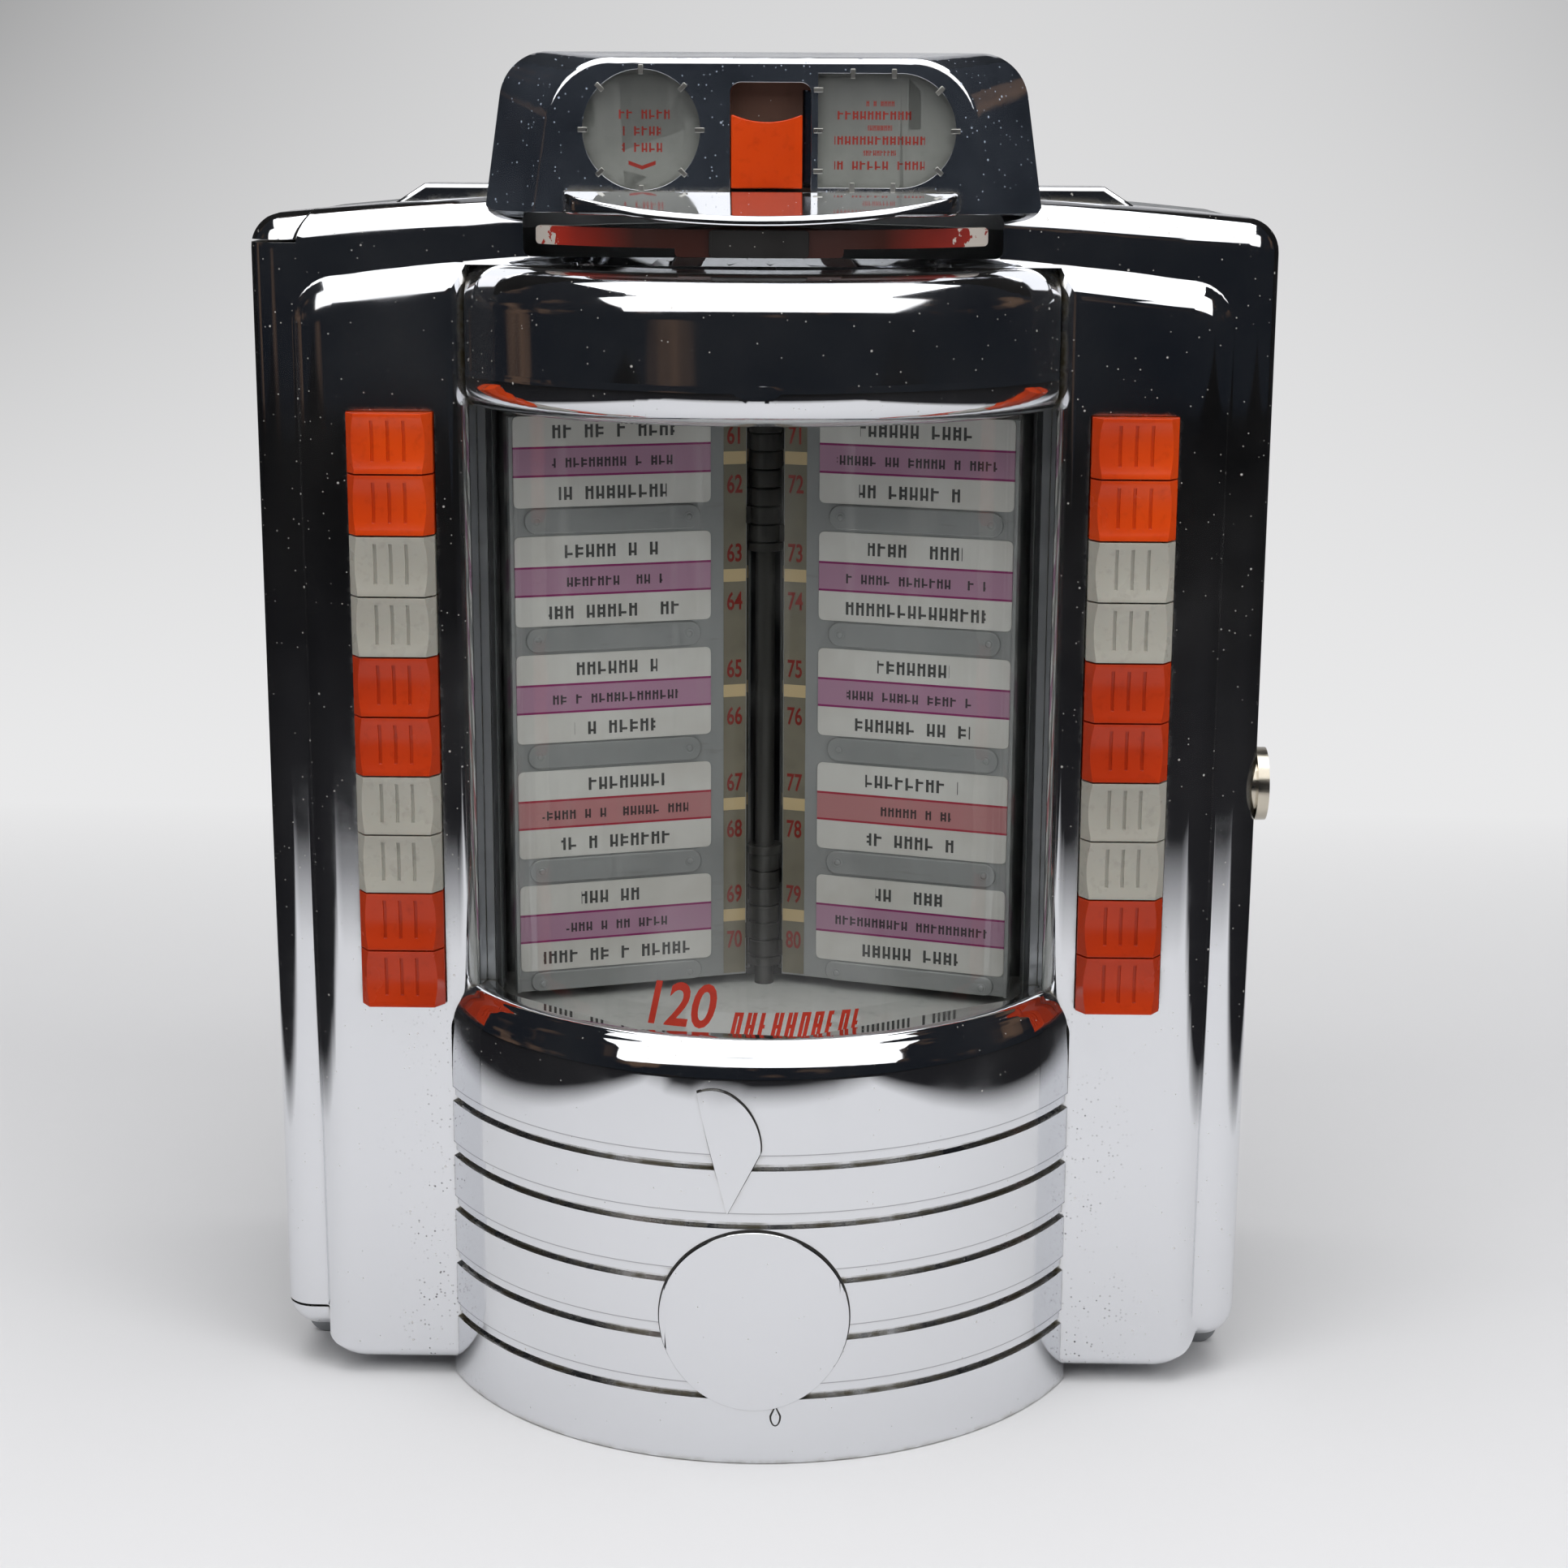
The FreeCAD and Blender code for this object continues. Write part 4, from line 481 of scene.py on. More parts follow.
def stageMaterial(s):
    material, tree, shader = newMaterial("stagePaper")
    tree.nodes.remove(shader)
    axes = axesOf(tree)
    path = node(tree, "LightPath").outputs
    # in mirrors the paper stops short in front and at the sides
    paper = node(tree, "BsdfDiffuse", {"Color": s["floor"]})
    dark = node(tree, "BsdfDiffuse", {"Color": s["dark"]})
    halfFront, halfSide = s["frontFade"] / 2, s["sideFade"] / 2
    fade = ramp(tree, axes["Y"], s["frontEdge"] - halfFront, s["frontEdge"] + halfFront, 1.0, 0.0)
    aside = maths(tree, "ABSOLUTE", axes["X"])
    sides = ramp(tree, aside, s["sideEdge"] - halfSide, s["sideEdge"] + halfSide)
    hide = maths(tree, "MULTIPLY", maths(tree, "MAXIMUM", fade, sides), path["Is Glossy Ray"])
    mirror = mixShaders(tree, hide, paper.outputs[0], dark.outputs[0])
    # painted light: behind the object the eye sees a pale grey glow that darkens upwards and to the sides
    climb = ramp(tree, axes["Z"], 0.0, s["climb"])
    away = maths(tree, "POWER", maths(tree, "SUBTRACT", axes["X"], s["brightSide"]), 2.0)
    fall = maths(tree, "ADD", maths(tree, "MULTIPLY", away, s["sideFall"]), s["upFall"])
    value = maths(tree, "SUBTRACT", s["horizon"], maths(tree, "MULTIPLY", fall, climb))
    tints = (maths(tree, "MULTIPLY", value, share) for share in s["farTint"])
    tone = node(tree, "CombineColor", dict(enumerate(tints)))
    far = node(tree, "Emission", {"Color": tone.outputs[0], "Strength": 1.0})
    eye = maths(tree, "MULTIPLY", path["Is Camera Ray"], ramp(tree, axes["Y"], *s["farFrom"]))
    surface(tree, mixShaders(tree, eye, mirror, far.outputs[0]))
    return material


def newVerts(grown):
    return [v for v in grown["geom"] if isinstance(v, bmesh.types.BMVert)]


def edgeAlong(bm, y):
    return [e for e in bm.edges if all(abs(v.co.y - y) < 1e-5 for v in e.verts)]


def addStage(s):
    # floor that sweeps up into a backdrop
    bm = bmesh.new()
    edge = bm.edges.new([bm.verts.new((x, -s["front"], 0)) for x in (-s["width"], s["width"])])
    floor = bmesh.ops.extrude_edge_only(bm, edges=[edge])
    bmesh.ops.translate(bm, verts=newVerts(floor), vec=(0, s["front"] + s["backStart"], 0))
    hinge = edgeAlong(bm, s["backStart"])
    bmesh.ops.spin(bm, geom=hinge + list(hinge[0].verts), cent=(0, s["backStart"], s["sweepRadius"]),
                   axis=(1, 0, 0), angle=math.radians(90), steps=s["sweepSteps"])
    wall = bmesh.ops.extrude_edge_only(bm, edges=edgeAlong(bm, s["backStart"] + s["sweepRadius"]))
    bmesh.ops.translate(bm, verts=newVerts(wall), vec=(0, 0, s["height"]))
    bmesh.ops.remove_doubles(bm, verts=bm.verts, dist=1e-5)
    bmesh.ops.recalc_face_normals(bm, faces=bm.faces)
    meshObject("stageSweep", bm, [stageMaterial(s)], smooth=40)


lightSettings = {
    "overheadSoftbox": {"place": (0.0, -0.10, 1.25), "size": (1.3, 0.85), "power": 9.0,
                        "aim": (0, -0.05, 0.2), "inMirrors": True},
    "frontSoftbox": {"place": (0.0, -0.83, 1.08), "size": (2.4, 0.93), "power": 11.0,
                     "aim": (0, -0.05, 0.3), "inMirrors": True},
    "rightFill": {"place": (1.3, -1.0, 0.9), "size": (0.9, 0.9), "power": 2.5,
                  "aim": (0, 0, 0.2), "inMirrors": False},
}


def addLight(name, s):
    data = bpy.data.lights.new(name, "AREA")
    data.shape = "RECTANGLE"
    data.size, data.size_y = s["size"]
    data.energy = s["power"]
    lamp = link(bpy.data.objects.new(name, data))
    lamp.location = s["place"]
    lamp.rotation_euler = (Vector(s["aim"]) - lamp.location).to_track_quat("-Z", "Y").to_euler()
    lamp.visible_glossy = s["inMirrors"]
    lamp.visible_camera = False


worldSettings = {
    "light": (0.62, 0.62, 0.64),
    "strength": 0.30,
    "seen": (0.60, 0.60, 0.62),
    "roomDark": (0.007, 0.009, 0.013),
    "roomWarm": (0.10, 0.062, 0.042),
    "patchScale": 2.4,
    "patchEdge": (0.58, 0.70),
}


def addWorld(s):
    # plain grey for the eye and for soft light, a dark warm room in mirrors
    world = bpy.data.worlds.new("room")
    world.use_nodes = True
    scene.world = world
    tree = world.node_tree
    soft = tree.nodes["Background"]
    feed(tree, soft.inputs["Color"], s["light"])
    feed(tree, soft.inputs["Strength"], s["strength"])
    seen = node(tree, "Background", {"Color": s["seen"], "Strength": 1.0})
    patches = noise(tree, node(tree, "TexCoord").outputs["Generated"], s["patchScale"], 3.0, 0.5)
    tone = blendColour(tree, ramp(tree, patches, *s["patchEdge"]), s["roomDark"], s["roomWarm"])
    room = node(tree, "Background", {"Color": tone, "Strength": 1.0})
    path = node(tree, "LightPath").outputs
    lit = mixShaders(tree, path["Is Glossy Ray"], soft.outputs[0], room.outputs[0])
    whole = mixShaders(tree, path["Is Camera Ray"], lit, seen.outputs[0])
    feed(tree, tree.nodes["World Output"].inputs["Surface"], whole)


addStage(stageSettings)
for name, settings in lightSettings.items():
    addLight(name, settings)
addWorld(worldSettings)
print("stage and light")


# cards behind the hood's lenses, with stand-in lines and a plain chevron, in millimetres

lensCards = {
    "paper": (0.17, 0.17, 0.165),
    # lighter foot of the card, where the painted shade fades out
    "lower": (0.30, 0.30, 0.285),
    "ink": (0.36, 0.022, 0.012),
    "levels": (390.0, 368.0),
    "lines": (
        {"centre": -33.5, "middle": 383.2, "tall": 2.5, "cell": 2.1, "half": 8.3, "seed": 5.0},
        {"centre": -33.5, "middle": 378.7, "tall": 2.5, "cell": 2.1, "half": 5.3, "seed": 9.0},
        {"centre": -33.5, "middle": 374.2, "tall": 2.5, "cell": 2.1, "half": 5.6, "seed": 14.0},
        {"centre": 32.8, "middle": 386.4, "tall": 1.5, "cell": 1.0, "half": 4.0, "seed": 21.0},
        {"centre": 31.3, "middle": 383.2, "tall": 2.3, "cell": 2.1, "half": 10.6, "seed": 27.0},
        {"centre": 32.8, "middle": 379.8, "tall": 1.5, "cell": 1.0, "half": 3.4, "seed": 31.0},
        {"centre": 32.8, "middle": 376.4, "tall": 2.3, "cell": 2.1, "half": 12.6, "seed": 38.0},
        {"centre": 32.8, "middle": 373.0, "tall": 1.5, "cell": 1.0, "half": 4.6, "seed": 41.0},
        {"centre": 32.8, "middle": 369.6, "tall": 2.3, "cell": 2.1, "half": 12.6, "seed": 46.0},
    ),
    "chevron": {"centre": -33.5, "middle": 368.7, "half": 3.8, "slope": 0.36, "stroke": 0.55},
}


def lensCardMaterial(s):
    material, tree, shader = newMaterial("lensCard")
    axes = axesOf(tree)
    across, up = (maths(tree, "MULTIPLY", axes[key], perMetre) for key in ("X", "Z"))
    cloud = noise(tree, place(tree), 60, 4.0, 0.6)
    # painted shade: the card darkens from its foot towards its top, in the hood's shade
    tone = blendColour(tree, ramp(tree, up, *s["levels"]), s["paper"], s["lower"])
    tone = blendColour(tree, ramp(tree, cloud, 0.45, 0.75, 0.0, 0.4), tone, darker(s["paper"], 0.7))
    for line in s["lines"]:
        tone = blendColour(tree, greekedLine(tree, across, up, 0, line, line["centre"]), tone, s["ink"])
    bent = s["chevron"]
    aside = maths(tree, "ABSOLUTE", maths(tree, "SUBTRACT", across, bent["centre"]))
    fold = maths(tree, "SUBTRACT", up, maths(tree, "MULTIPLY", aside, bent["slope"]))
    mark = maths(tree, "MULTIPLY", within(tree, fold, bent["middle"], bent["stroke"]),
                 maths(tree, "LESS_THAN", aside, bent["half"]))
    finishShader(tree, shader, blendColour(tree, mark, tone, s["ink"]), ramp(tree, cloud, 0.3, 0.7, 0.45, 0.6),
                 noise(tree, place(tree), 1200, 2.0), 0.05, 0.0001)
    return material


# page bar, lengths in metres

barPaint = {
    "paint": (0.36, 0.022, 0.010),
    "shade": (0.24, 0.014, 0.008),
    "bare": (0.52, 0.47, 0.42),
    # dark red-brown of the painted shade in the bar's middle
    "grime": (0.045, 0.012, 0.008),
    "wornFrom": 0.046,
    "wornTo": 0.060,
    "paintedShadeEdge": (0.056, 0.034),
    "tipsFrom": 0.057,
    "tipWidth": 2.6,
}


def wornRed(s):
    # red paint rubbed through to pale primer where fingers push the two ends, and a painted shade that darkens
    # the middle
    material, tree, shader = newMaterial("wornRed")
    vector = place(tree)
    aside = maths(tree, "ABSOLUTE", axesOf(tree)["X"])
    ends = ramp(tree, aside, s["wornFrom"], s["wornTo"], -0.4, 0.13)
    chips = maths(tree, "GREATER_THAN", maths(tree, "ADD", noise(tree, vector, 170, 5.0, 0.65), ends), 0.5)
    cloud = noise(tree, vector, 40, 3.0)
    tone = drifting(tree, cloud, s["paint"], s["shade"])
    # painted shade: the middle of the bar darkens, where it lies in the ledge's shadow
    tone = blendColour(tree, ramp(tree, aside, *s["paintedShadeEdge"]), tone, s["grime"])
    tone = blendColour(tree, chips, tone, s["bare"])
    finishShader(tree, shader, tone, ramp(tree, cloud, 0.3, 0.7, 0.3, 0.5), chips, 0.3, 0.0001)
    return material


def roundTips(bm):
    # short edges across the thickness, at the page bar's two ends
    s = barPaint

    def acrossEnd(edge):
        a, b = (v.co for v in edge.verts)
        along = (b - a).normalized()
        out = Vector((a.x, a.y, 0)).normalized()
        return abs(a.x) > s["tipsFrom"] and abs(along.dot(out)) > 0.9
    roundEdges(bm, acrossEnd, s["tipWidth"], 5)


# ledge under the hood, in millimetres

ledgeLip = {
    "front": -60.0,
    "levels": (350.0, 363.0),
    "width": 1.2,
}


def roundLip(bm):
    s = ledgeLip
    low, high = (level * mm for level in s["levels"])

    def onLip(edge):
        return all(v.co.y < s["front"] * mm and low < v.co.z < high for v in edge.verts)
    roundEdges(bm, onLip, s["width"])


# collar round the window's foot, in millimetres

collarRoll = {
    "radius": 105.0,
    "level": (97.0, 101.0, 105.0, 109.0, 113.6, 118.1, 121.4, 122.6),
    "lean": (0.0, -0.05, -0.15, -0.35, -0.7, -1.5, -0.8, 1.2),
    "rise": (0.0, 0.3, 1.0, 2.0, 3.6, 4.5, 5.1, 5.5),
    "lip": (88.9, 96.0),
    "fade": (-48.0, -40.0),
}


def alongTable(keys, values, at):
    for k in range(1, len(keys)):
        if at <= keys[k]:
            share = max(at - keys[k - 1], 0.0) / (keys[k] - keys[k - 1])
            return values[k - 1] + (values[k] - values[k - 1]) * share
    return values[-1]


def clamped(value):
    return min(max(value, 0.0), 1.0)


def rollCollar(bm):
    # the collar leans in from its foot and rises to a rolled lip round the glass
    s = collarRoll
    for level in s["level"][1:4]:
        bmesh.ops.bisect_plane(bm, geom=bm.verts[:] + bm.edges[:] + bm.faces[:],
                               plane_co=(0, 0, level * mm), plane_no=(0, 0, 1))
    low, high = s["lip"]
    full, none = s["fade"]
    for vert in bm.verts:
        x, y, z = (c / mm for c in vert.co)
        reach = math.hypot(x, y)
        share = clamped((reach - low) / (high - low)) * clamped((none - y) / (none - full))
        if z > s["level"][0] and share > 0.0:
            grown = reach + alongTable(s["level"], s["lean"], z) * share
            lifted = z + alongTable(s["level"], s["rise"], z) * share
            vert.co = Vector((x * grown / reach, y * grown / reach, lifted)) * mm


# bent tabs that hold the lenses, in millimetres

slimTabs = {
    "share": 0.5,
    "round": (-33.5, 379.0),
    "straightTo": 38.4,
    "straightLeft": 18.0,
}


def slimTab(bm):
    # each bent tab is narrowed about its own middle line
    s = slimTabs
    left = set(bm.verts)
    while left:
        island, edge = set(), [next(iter(left))]
        while edge:
            vert = edge.pop()
            if vert not in island:
                island.add(vert)
                edge += [e.other_vert(vert) for e in vert.link_edges]
        left -= island
        x = sum(v.co.x for v in island) / len(island) / mm
        z = sum(v.co.z for v in island) / len(island) / mm
        if x < 0:
            out = Vector((x - s["round"][0], z - s["round"][1]))
        elif x < s["straightLeft"]:
            out = Vector((1, 0))
        elif x < s["straightTo"]:
            out = Vector((0, 1))
        else:
            out = Vector((x - s["straightTo"], z - s["round"][1]))
        across = Vector((-out.y, out.x)).normalized()
        for vert in island:
            off = (vert.co.x / mm - x) * across.x + (vert.co.z / mm - z) * across.y
            vert.co.x -= across.x * off * (1 - s["share"]) * mm
            vert.co.z -= across.y * off * (1 - s["share"]) * mm


# castings and pressings: body, material, softened edge in millimetres, reshaping

castings = {
    "door_frame": ("door", chrome, 0.35, roundLip),
    "header_panel": ("door", chrome, 0.3, None),
    "base_apron": ("door", chromeApron, 0.2, rollCollar),
    "hood": ("door", chromeHood, 0.3, None),
    "rear_case": ("case", steel, 0.3, None),
    "coin_pocket": ("door", pocketBrown, 0.2, None),
    "window_channels": ("door", steel, 0.2, None),
    "medallion": ("door", chromeBase, 0.3, None),
    "crest": ("door", chromeBase, 0.2, rollCollar),
    "spindle": ("door", darkSteel, 0.2, None),
    "holder_floor": ("door", floorGrey, 0.2, None),
    "holder_bracket": ("door", steel, 0.2, None),
    "hinge_ears": ("case", chrome, 0.3, None),
    "lens_tabs": ("door", plated, 0.1, slimTab),
    "instruction_cards": ("door", lensCardMaterial(lensCards), 0.1, None),
    "page_bar": ("page_bar", wornRed(barPaint), 0.5, roundTips),
    "bar_block": ("page_bar", blackPlastic, 0.3, None),
    "coin_return_key": ("coin_return_key", orange, 0.3, None),
}
for name, (body, material, soften, reshape) in castings.items():
    refine(name, body, material, soften, reshape=reshape)

finishes = {
    "hinge_pins": plated, "lock_strike": plated, "cable_grommet": rubber,
    "coin_chute": plated, "coin_cup": steel, "relay_unit": brass, "terminal_strip": brown,
    "window_glass": windowClear, "lens_round": lensClear, "lens_d": lensClear,
    "rack_right": blackPlastic, "rack_left": blackPlastic,
    "lock_body": nickel, "lock_plug": brass,
}
for name, material in finishes.items():
    data = nodes[name].data
    data.materials.clear()
    data.materials.append(material)

# from the top button down
buttonColours = (orange, orange, grey, grey, orangeDeep, orangeDeep, grey, grey, orangeDeep, orangeDeep)
for side in ("left", "right"):
    for row, colour in enumerate(buttonColours, 1):
        button = f"button_{side}_{row}"
        refine(button, button, colour, 0.35, sharp=40)
print("castings and finishes")


# building blocks for small pieces, in millimetres until they are placed

def slabInto(bm, low, high, corner=0.0, cornerSegments=4, soft=0.0):
    # box between two corners: the edges along Y rounded, then every sharp rim softened
    known = set(bm.faces)
    made = bmesh.ops.create_cube(bm, size=1.0)
    bmesh.ops.scale(bm, verts=made["verts"], vec=[b - a for a, b in zip(low, high)])
    bmesh.ops.translate(bm, verts=made["verts"], vec=[(a + b) / 2 for a, b in zip(low, high)])
    if corner:
        along = {e for v in made["verts"] for e in v.link_edges
                 if abs(e.verts[0].co.y - e.verts[1].co.y) > 1e-4}
        bmesh.ops.bevel(bm, geom=list(along), offset=corner, affect="EDGES",
                        segments=cornerSegments, profile=0.5, material=-1)
    if soft:
        rims = {e for f in bm.faces if f not in known for e in f.edges
                if e.calc_face_angle(0) > math.radians(60)}
        bmesh.ops.bevel(bm, geom=list(rims), offset=soft, affect="EDGES",
                        segments=2, profile=0.5, material=-1)
    return [f for f in bm.faces if f not in known]


def turnedInto(bm, profile, axis, centre, steps=20):
    # an outline of (radius, height) points, closed or pole to pole, spun about an axis through the centre
    verts = [bm.verts.new(Vector(centre) + Vector((1, 0, 0)) * r + Vector(axis) * h) for r, h in profile]
    edges = [bm.edges.new(pair) for pair in zip(verts, verts[1:])]
    if profile[0][0] > 1e-6:
        edges.append(bm.edges.new((verts[-1], verts[0])))
    bmesh.ops.spin(bm, geom=verts + edges, cent=centre, axis=axis,
                   angle=math.radians(360), steps=steps, use_merge=True)


def finishPiece(name, bm, materials, body, angle=0.0, smooth=50, replaces=()):
    # poles closed, normals outwards, turned about the spindle, scaled to metres, hung on its body
    bmesh.ops.remove_doubles(bm, verts=bm.verts, dist=1e-4)
    bmesh.ops.recalc_face_normals(bm, faces=bm.faces)
    bmesh.ops.rotate(bm, verts=bm.verts, cent=(0, 0, 0), matrix=Matrix.Rotation(angle, 3, "Z"))
    bmesh.ops.scale(bm, verts=bm.verts, vec=(mm, mm, mm))
    obj = meshObject(name, bm, materials, smooth=smooth)
    weightNormals(obj)
    if replaces:
        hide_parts(*replaces)
    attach(obj, body)


# title pages

pages = {
    "angles": (72.0, -72.0, -100.0, -128.0, 128.0, 100.0),
    "numbers": ((71, 81), (51, 61), (31, 41), (11, 21), (111, 1), (91, 101)),
    "inner": 6.1,
    "outer": 80.0,
    "bottom": 118.0,
    "top": 296.0,
    "firstRail": 120.3,
    "rows": 5,
    "pitch": 36.05,
    "plate": 0.5,
    "plateSoft": 0.12,
    "edgeWidth": 1.2,
    "edgeHalf": 1.5,
    "edgeSoft": 0.25,
    "railHalf": 1.5,
    "railHeight": 7.4,
    "railEnds": (24.6, 71.7),
    "railRound": 0.96,
    "railSoft": 0.4,
    "rivetSink": 0.02,
    "rivetProfile": ((0.0, 0.0), (1.62, 0.0), (1.62, 0.12), (1.45, 0.2), (1.2, 0.12),
                     (0.95, 0.1), (0.8, 0.3), (0.45, 0.36), (0.0, 0.3)),
    "mapStep": 100.0,
    "card": (17.6, 78.6),
    "cardLow": 4.1,
    "cardHigh": 31.5,
    "cardFace": 0.84,
    "cardCorner": 1.7,
    "columnEnd": 13.5,
    "columnFace": 0.58,
    "columnInset": (0.3, 0.6),
    "printLift": 0.05,
    "knuckle": (3.4, 4.8, 5.2),
    "knuckleRound": 0.3,
    "tongue": (0.4, 1.0),
    "tongueSoft": 0.1,
    "knucklePitch": 5.6,
    "knuckleStacks": (124.0, 256.0),
    "numeralHeight": 5.5,
    "numeralWidth": 0.66,
    "numeralNarrow": 0.8,
    "numeralRows": (0.725, 0.18),
    "numeralCentre": 10.0,
}


def pageFrame(s):
    bm = bmesh.new()
    bottom, top, outer = s["bottom"], s["top"], s["outer"]
    slabInto(bm, (s["inner"], -s["plate"], bottom), (outer, s["plate"], top), soft=s["plateSoft"])
    slabInto(bm, (outer - s["edgeWidth"], -s["edgeHalf"], bottom), (outer, s["edgeHalf"], top),
             soft=s["edgeSoft"])
    half = s["railHeight"] / 2
    left, right = s["railEnds"][0] - half, s["railEnds"][1] + half
    for row in range(s["rows"] + 1):
        z = s["firstRail"] + row * s["pitch"]
        low, high = max(z - half, bottom), min(z + half, top)
        if high - low < half:
            continue
        corner = min(half, (high - low) / 2) * s["railRound"]
        slabInto(bm, (left, -s["railHalf"], low), (right, s["railHalf"], high),
                 corner=corner, cornerSegments=7, soft=s["railSoft"])
        if not bottom < z < top:
            continue
        for x in s["railEnds"]:
            for side in (-1, 1):
                seat = (x, side * (s["railHalf"] - s["rivetSink"]), z)
                turnedInto(bm, s["rivetProfile"], (0, side, 0), seat, steps=14)
    return bm


def pageHinge(s, index):
    bm = bmesh.new()
    bore, outside, height = s["knuckle"]
    soft = s["knuckleRound"]
    ring = ((bore, 0.0), (outside - soft, 0.0), (outside, soft),
            (outside, height - soft), (outside - soft, height), (bore, height))
    for stack in s["knuckleStacks"]:
        z = stack + index * s["knucklePitch"]
        near, far = bore + s["tongue"][0], s["inner"] + s["tongue"][1]
        slabInto(bm, (near, -s["plate"], z), (far, s["plate"], z + height), soft=s["tongueSoft"])
        turnedInto(bm, ring, (0, 0, 1), (0, 0, z), steps=28)
    return bm


def pageCards(s, index):
    # card number and place across the card go into the page's own map for the printing
    bm = bmesh.new()
    chart = bm.loops.layers.uv.new("print")
    for row in range(s["rows"]):
        rail = s["firstRail"] + row * s["pitch"]
        low, high = rail + s["cardLow"], rail + s["cardHigh"]
        for side in (-1, 1):
            near, far = sorted((side * (s["plate"] - s["printLift"]), side * s["cardFace"]))
            faces = slabInto(bm, (s["card"][0], near, low), (s["card"][1], far, high),
                             corner=s["cardCorner"], soft=s["plateSoft"])
            serial = index * 10 + row * 2 + (side + 1) // 2
            for face in faces:
                for loop in face.loops:
                    x = loop.vert.co.x if side < 0 else sum(s["card"]) - loop.vert.co.x
                    loop[chart].uv = (serial * s["mapStep"] + x, (loop.vert.co.z - low) / (high - low))
    return bm


def pageColumns(s):
    bm = bmesh.new()
    inset, trim = s["columnInset"]
    for side in (-1, 1):
        near, far = sorted((side * (s["plate"] - s["printLift"]), side * s["columnFace"]))
        slabInto(bm, (s["inner"] + inset, near, s["bottom"] + trim), (s["columnEnd"], far, s["top"] - trim))
    return bm


# plain figures: how far their strokes are thickened, and their letter size for each unit of height
figures = {
    "thicken": 0.018,
    "size": 1.4,
}


def numeralMesh(word):
    curve = bpy.data.curves.new("numeral", "FONT")
    curve.body = word
    curve.align_x = "CENTER"
    curve.align_y = "CENTER"
    curve.resolution_u = 4
    curve.offset = figures["thicken"]
    obj = link(bpy.data.objects.new("numeral", curve))
    bpy.context.view_layer.update()
    mesh = bpy.data.meshes.new_from_object(obj.evaluated_get(bpy.context.evaluated_depsgraph_get()))
    bpy.data.objects.remove(obj)
    bpy.data.curves.remove(curve)
    return mesh


def pageNumerals(s, index):
    # two plain numbers beside each card, read from the visible side of each face
    bm = bmesh.new()
    for side, first in zip((-1, 1), s["numbers"][index]):
        for row in range(s["rows"]):
            for slot, share in enumerate(s["numeralRows"]):
                number = first + 2 * (s["rows"] - 1 - row) + slot
                z = s["firstRail"] + row * s["pitch"] + s["cardLow"] + share * (s["cardHigh"] - s["cardLow"])
                mesh = numeralMesh(str(number))
                turn = Matrix.Rotation(math.radians(90), 4, "X")
                if side > 0:
                    turn = Matrix.Rotation(math.radians(180), 4, "Z") @ turn
                size = s["numeralHeight"] * figures["size"]
                narrow = s["numeralWidth"] * (s["numeralNarrow"] if number > 99 else 1.0)
                scale = Matrix.Diagonal((size * narrow, size, 1, 1))
                spot = Matrix.Translation((s["numeralCentre"], side * (s["columnFace"] + s["printLift"]), z))
                mesh.transform(spot @ turn @ scale)
                bm.from_mesh(mesh)
                bpy.data.meshes.remove(mesh)
    return bm


framePaint = {
    "grey": (0.40, 0.405, 0.41),
    "shade": (0.34, 0.345, 0.35),
    "rubbed": (0.27, 0.265, 0.25),
    "metallic": 0.35,
}


def pagePaint(s):
    # satin grey frames with rubbed level streaks
    material, tree, shader = newMaterial("pagePaint")
    vector = place(tree)
    cloud = noise(tree, vector, 30, 4.0, 0.6)
    tone = drifting(tree, cloud, s["grey"], s["shade"])
    rub = ramp(tree, noise(tree, place(tree, scale=(1, 1, 6)), 90, 4.0), 0.6, 0.8, 0.0, 0.5)
    tone = blendColour(tree, rub, tone, s["rubbed"])
    feed(tree, shader.inputs["Metallic"], s["metallic"])
    finishShader(tree, shader, tone, ramp(tree, cloud, 0.3, 0.7, 0.38, 0.5),
                 noise(tree, vector, 600, 2.0), 0.06, 0.0002)
    return material


columnPaint = {
    "olive": (0.21, 0.185, 0.135),
    "tan": (0.62, 0.47, 0.26),
    "middle": 17.3,
    "half": 1.95,
}


def columnMaterial(s, page):
    material, tree, shader = newMaterial("numberColumn")
    up = maths(tree, "MULTIPLY", axesOf(tree)["Z"], perMetre)
    up = maths(tree, "FLOORED_MODULO", maths(tree, "SUBTRACT", up, page["firstRail"]), page["pitch"])
    band = within(tree, up, s["middle"], s["half"])
    cloud = noise(tree, place(tree), 120, 4.0, 0.6)
    base = drifting(tree, cloud, s["olive"], darker(s["olive"], 0.8))
    finishShader(tree, shader, blendColour(tree, band, base, s["tan"]), ramp(tree, cloud, 0.3, 0.7, 0.42, 0.6),
                 noise(tree, place(tree), 900, 2.0), 0.05, 0.0001)
    return material


printing = {
    "paper": (0.72, 0.70, 0.68),
    "aged": (0.62, 0.59, 0.56),
    "ink": (0.018, 0.018, 0.02),
    "band": (0.46, 0.25, 0.37),
    "rule": (0.28, 0.015, 0.14),
    "warmBand": (0.52, 0.22, 0.23),
    "warmRule": (0.42, 0.02, 0.05),
    "warmRow": 1,
    "middle": 0.5,
    "halfBand": 0.155,
    "halfRule": 0.012,
    "strength": 0.93,
    "lines": (
        {"middle": 0.825, "tall": 0.145, "cell": 3.3, "half": 21.0, "seed": 3.0},
        {"middle": 0.485, "tall": 0.105, "cell": 2.4, "half": 25.0, "seed": 7.0},
        {"middle": 0.150, "tall": 0.145, "cell": 3.3, "half": 25.0, "seed": 11.0},
    ),
}


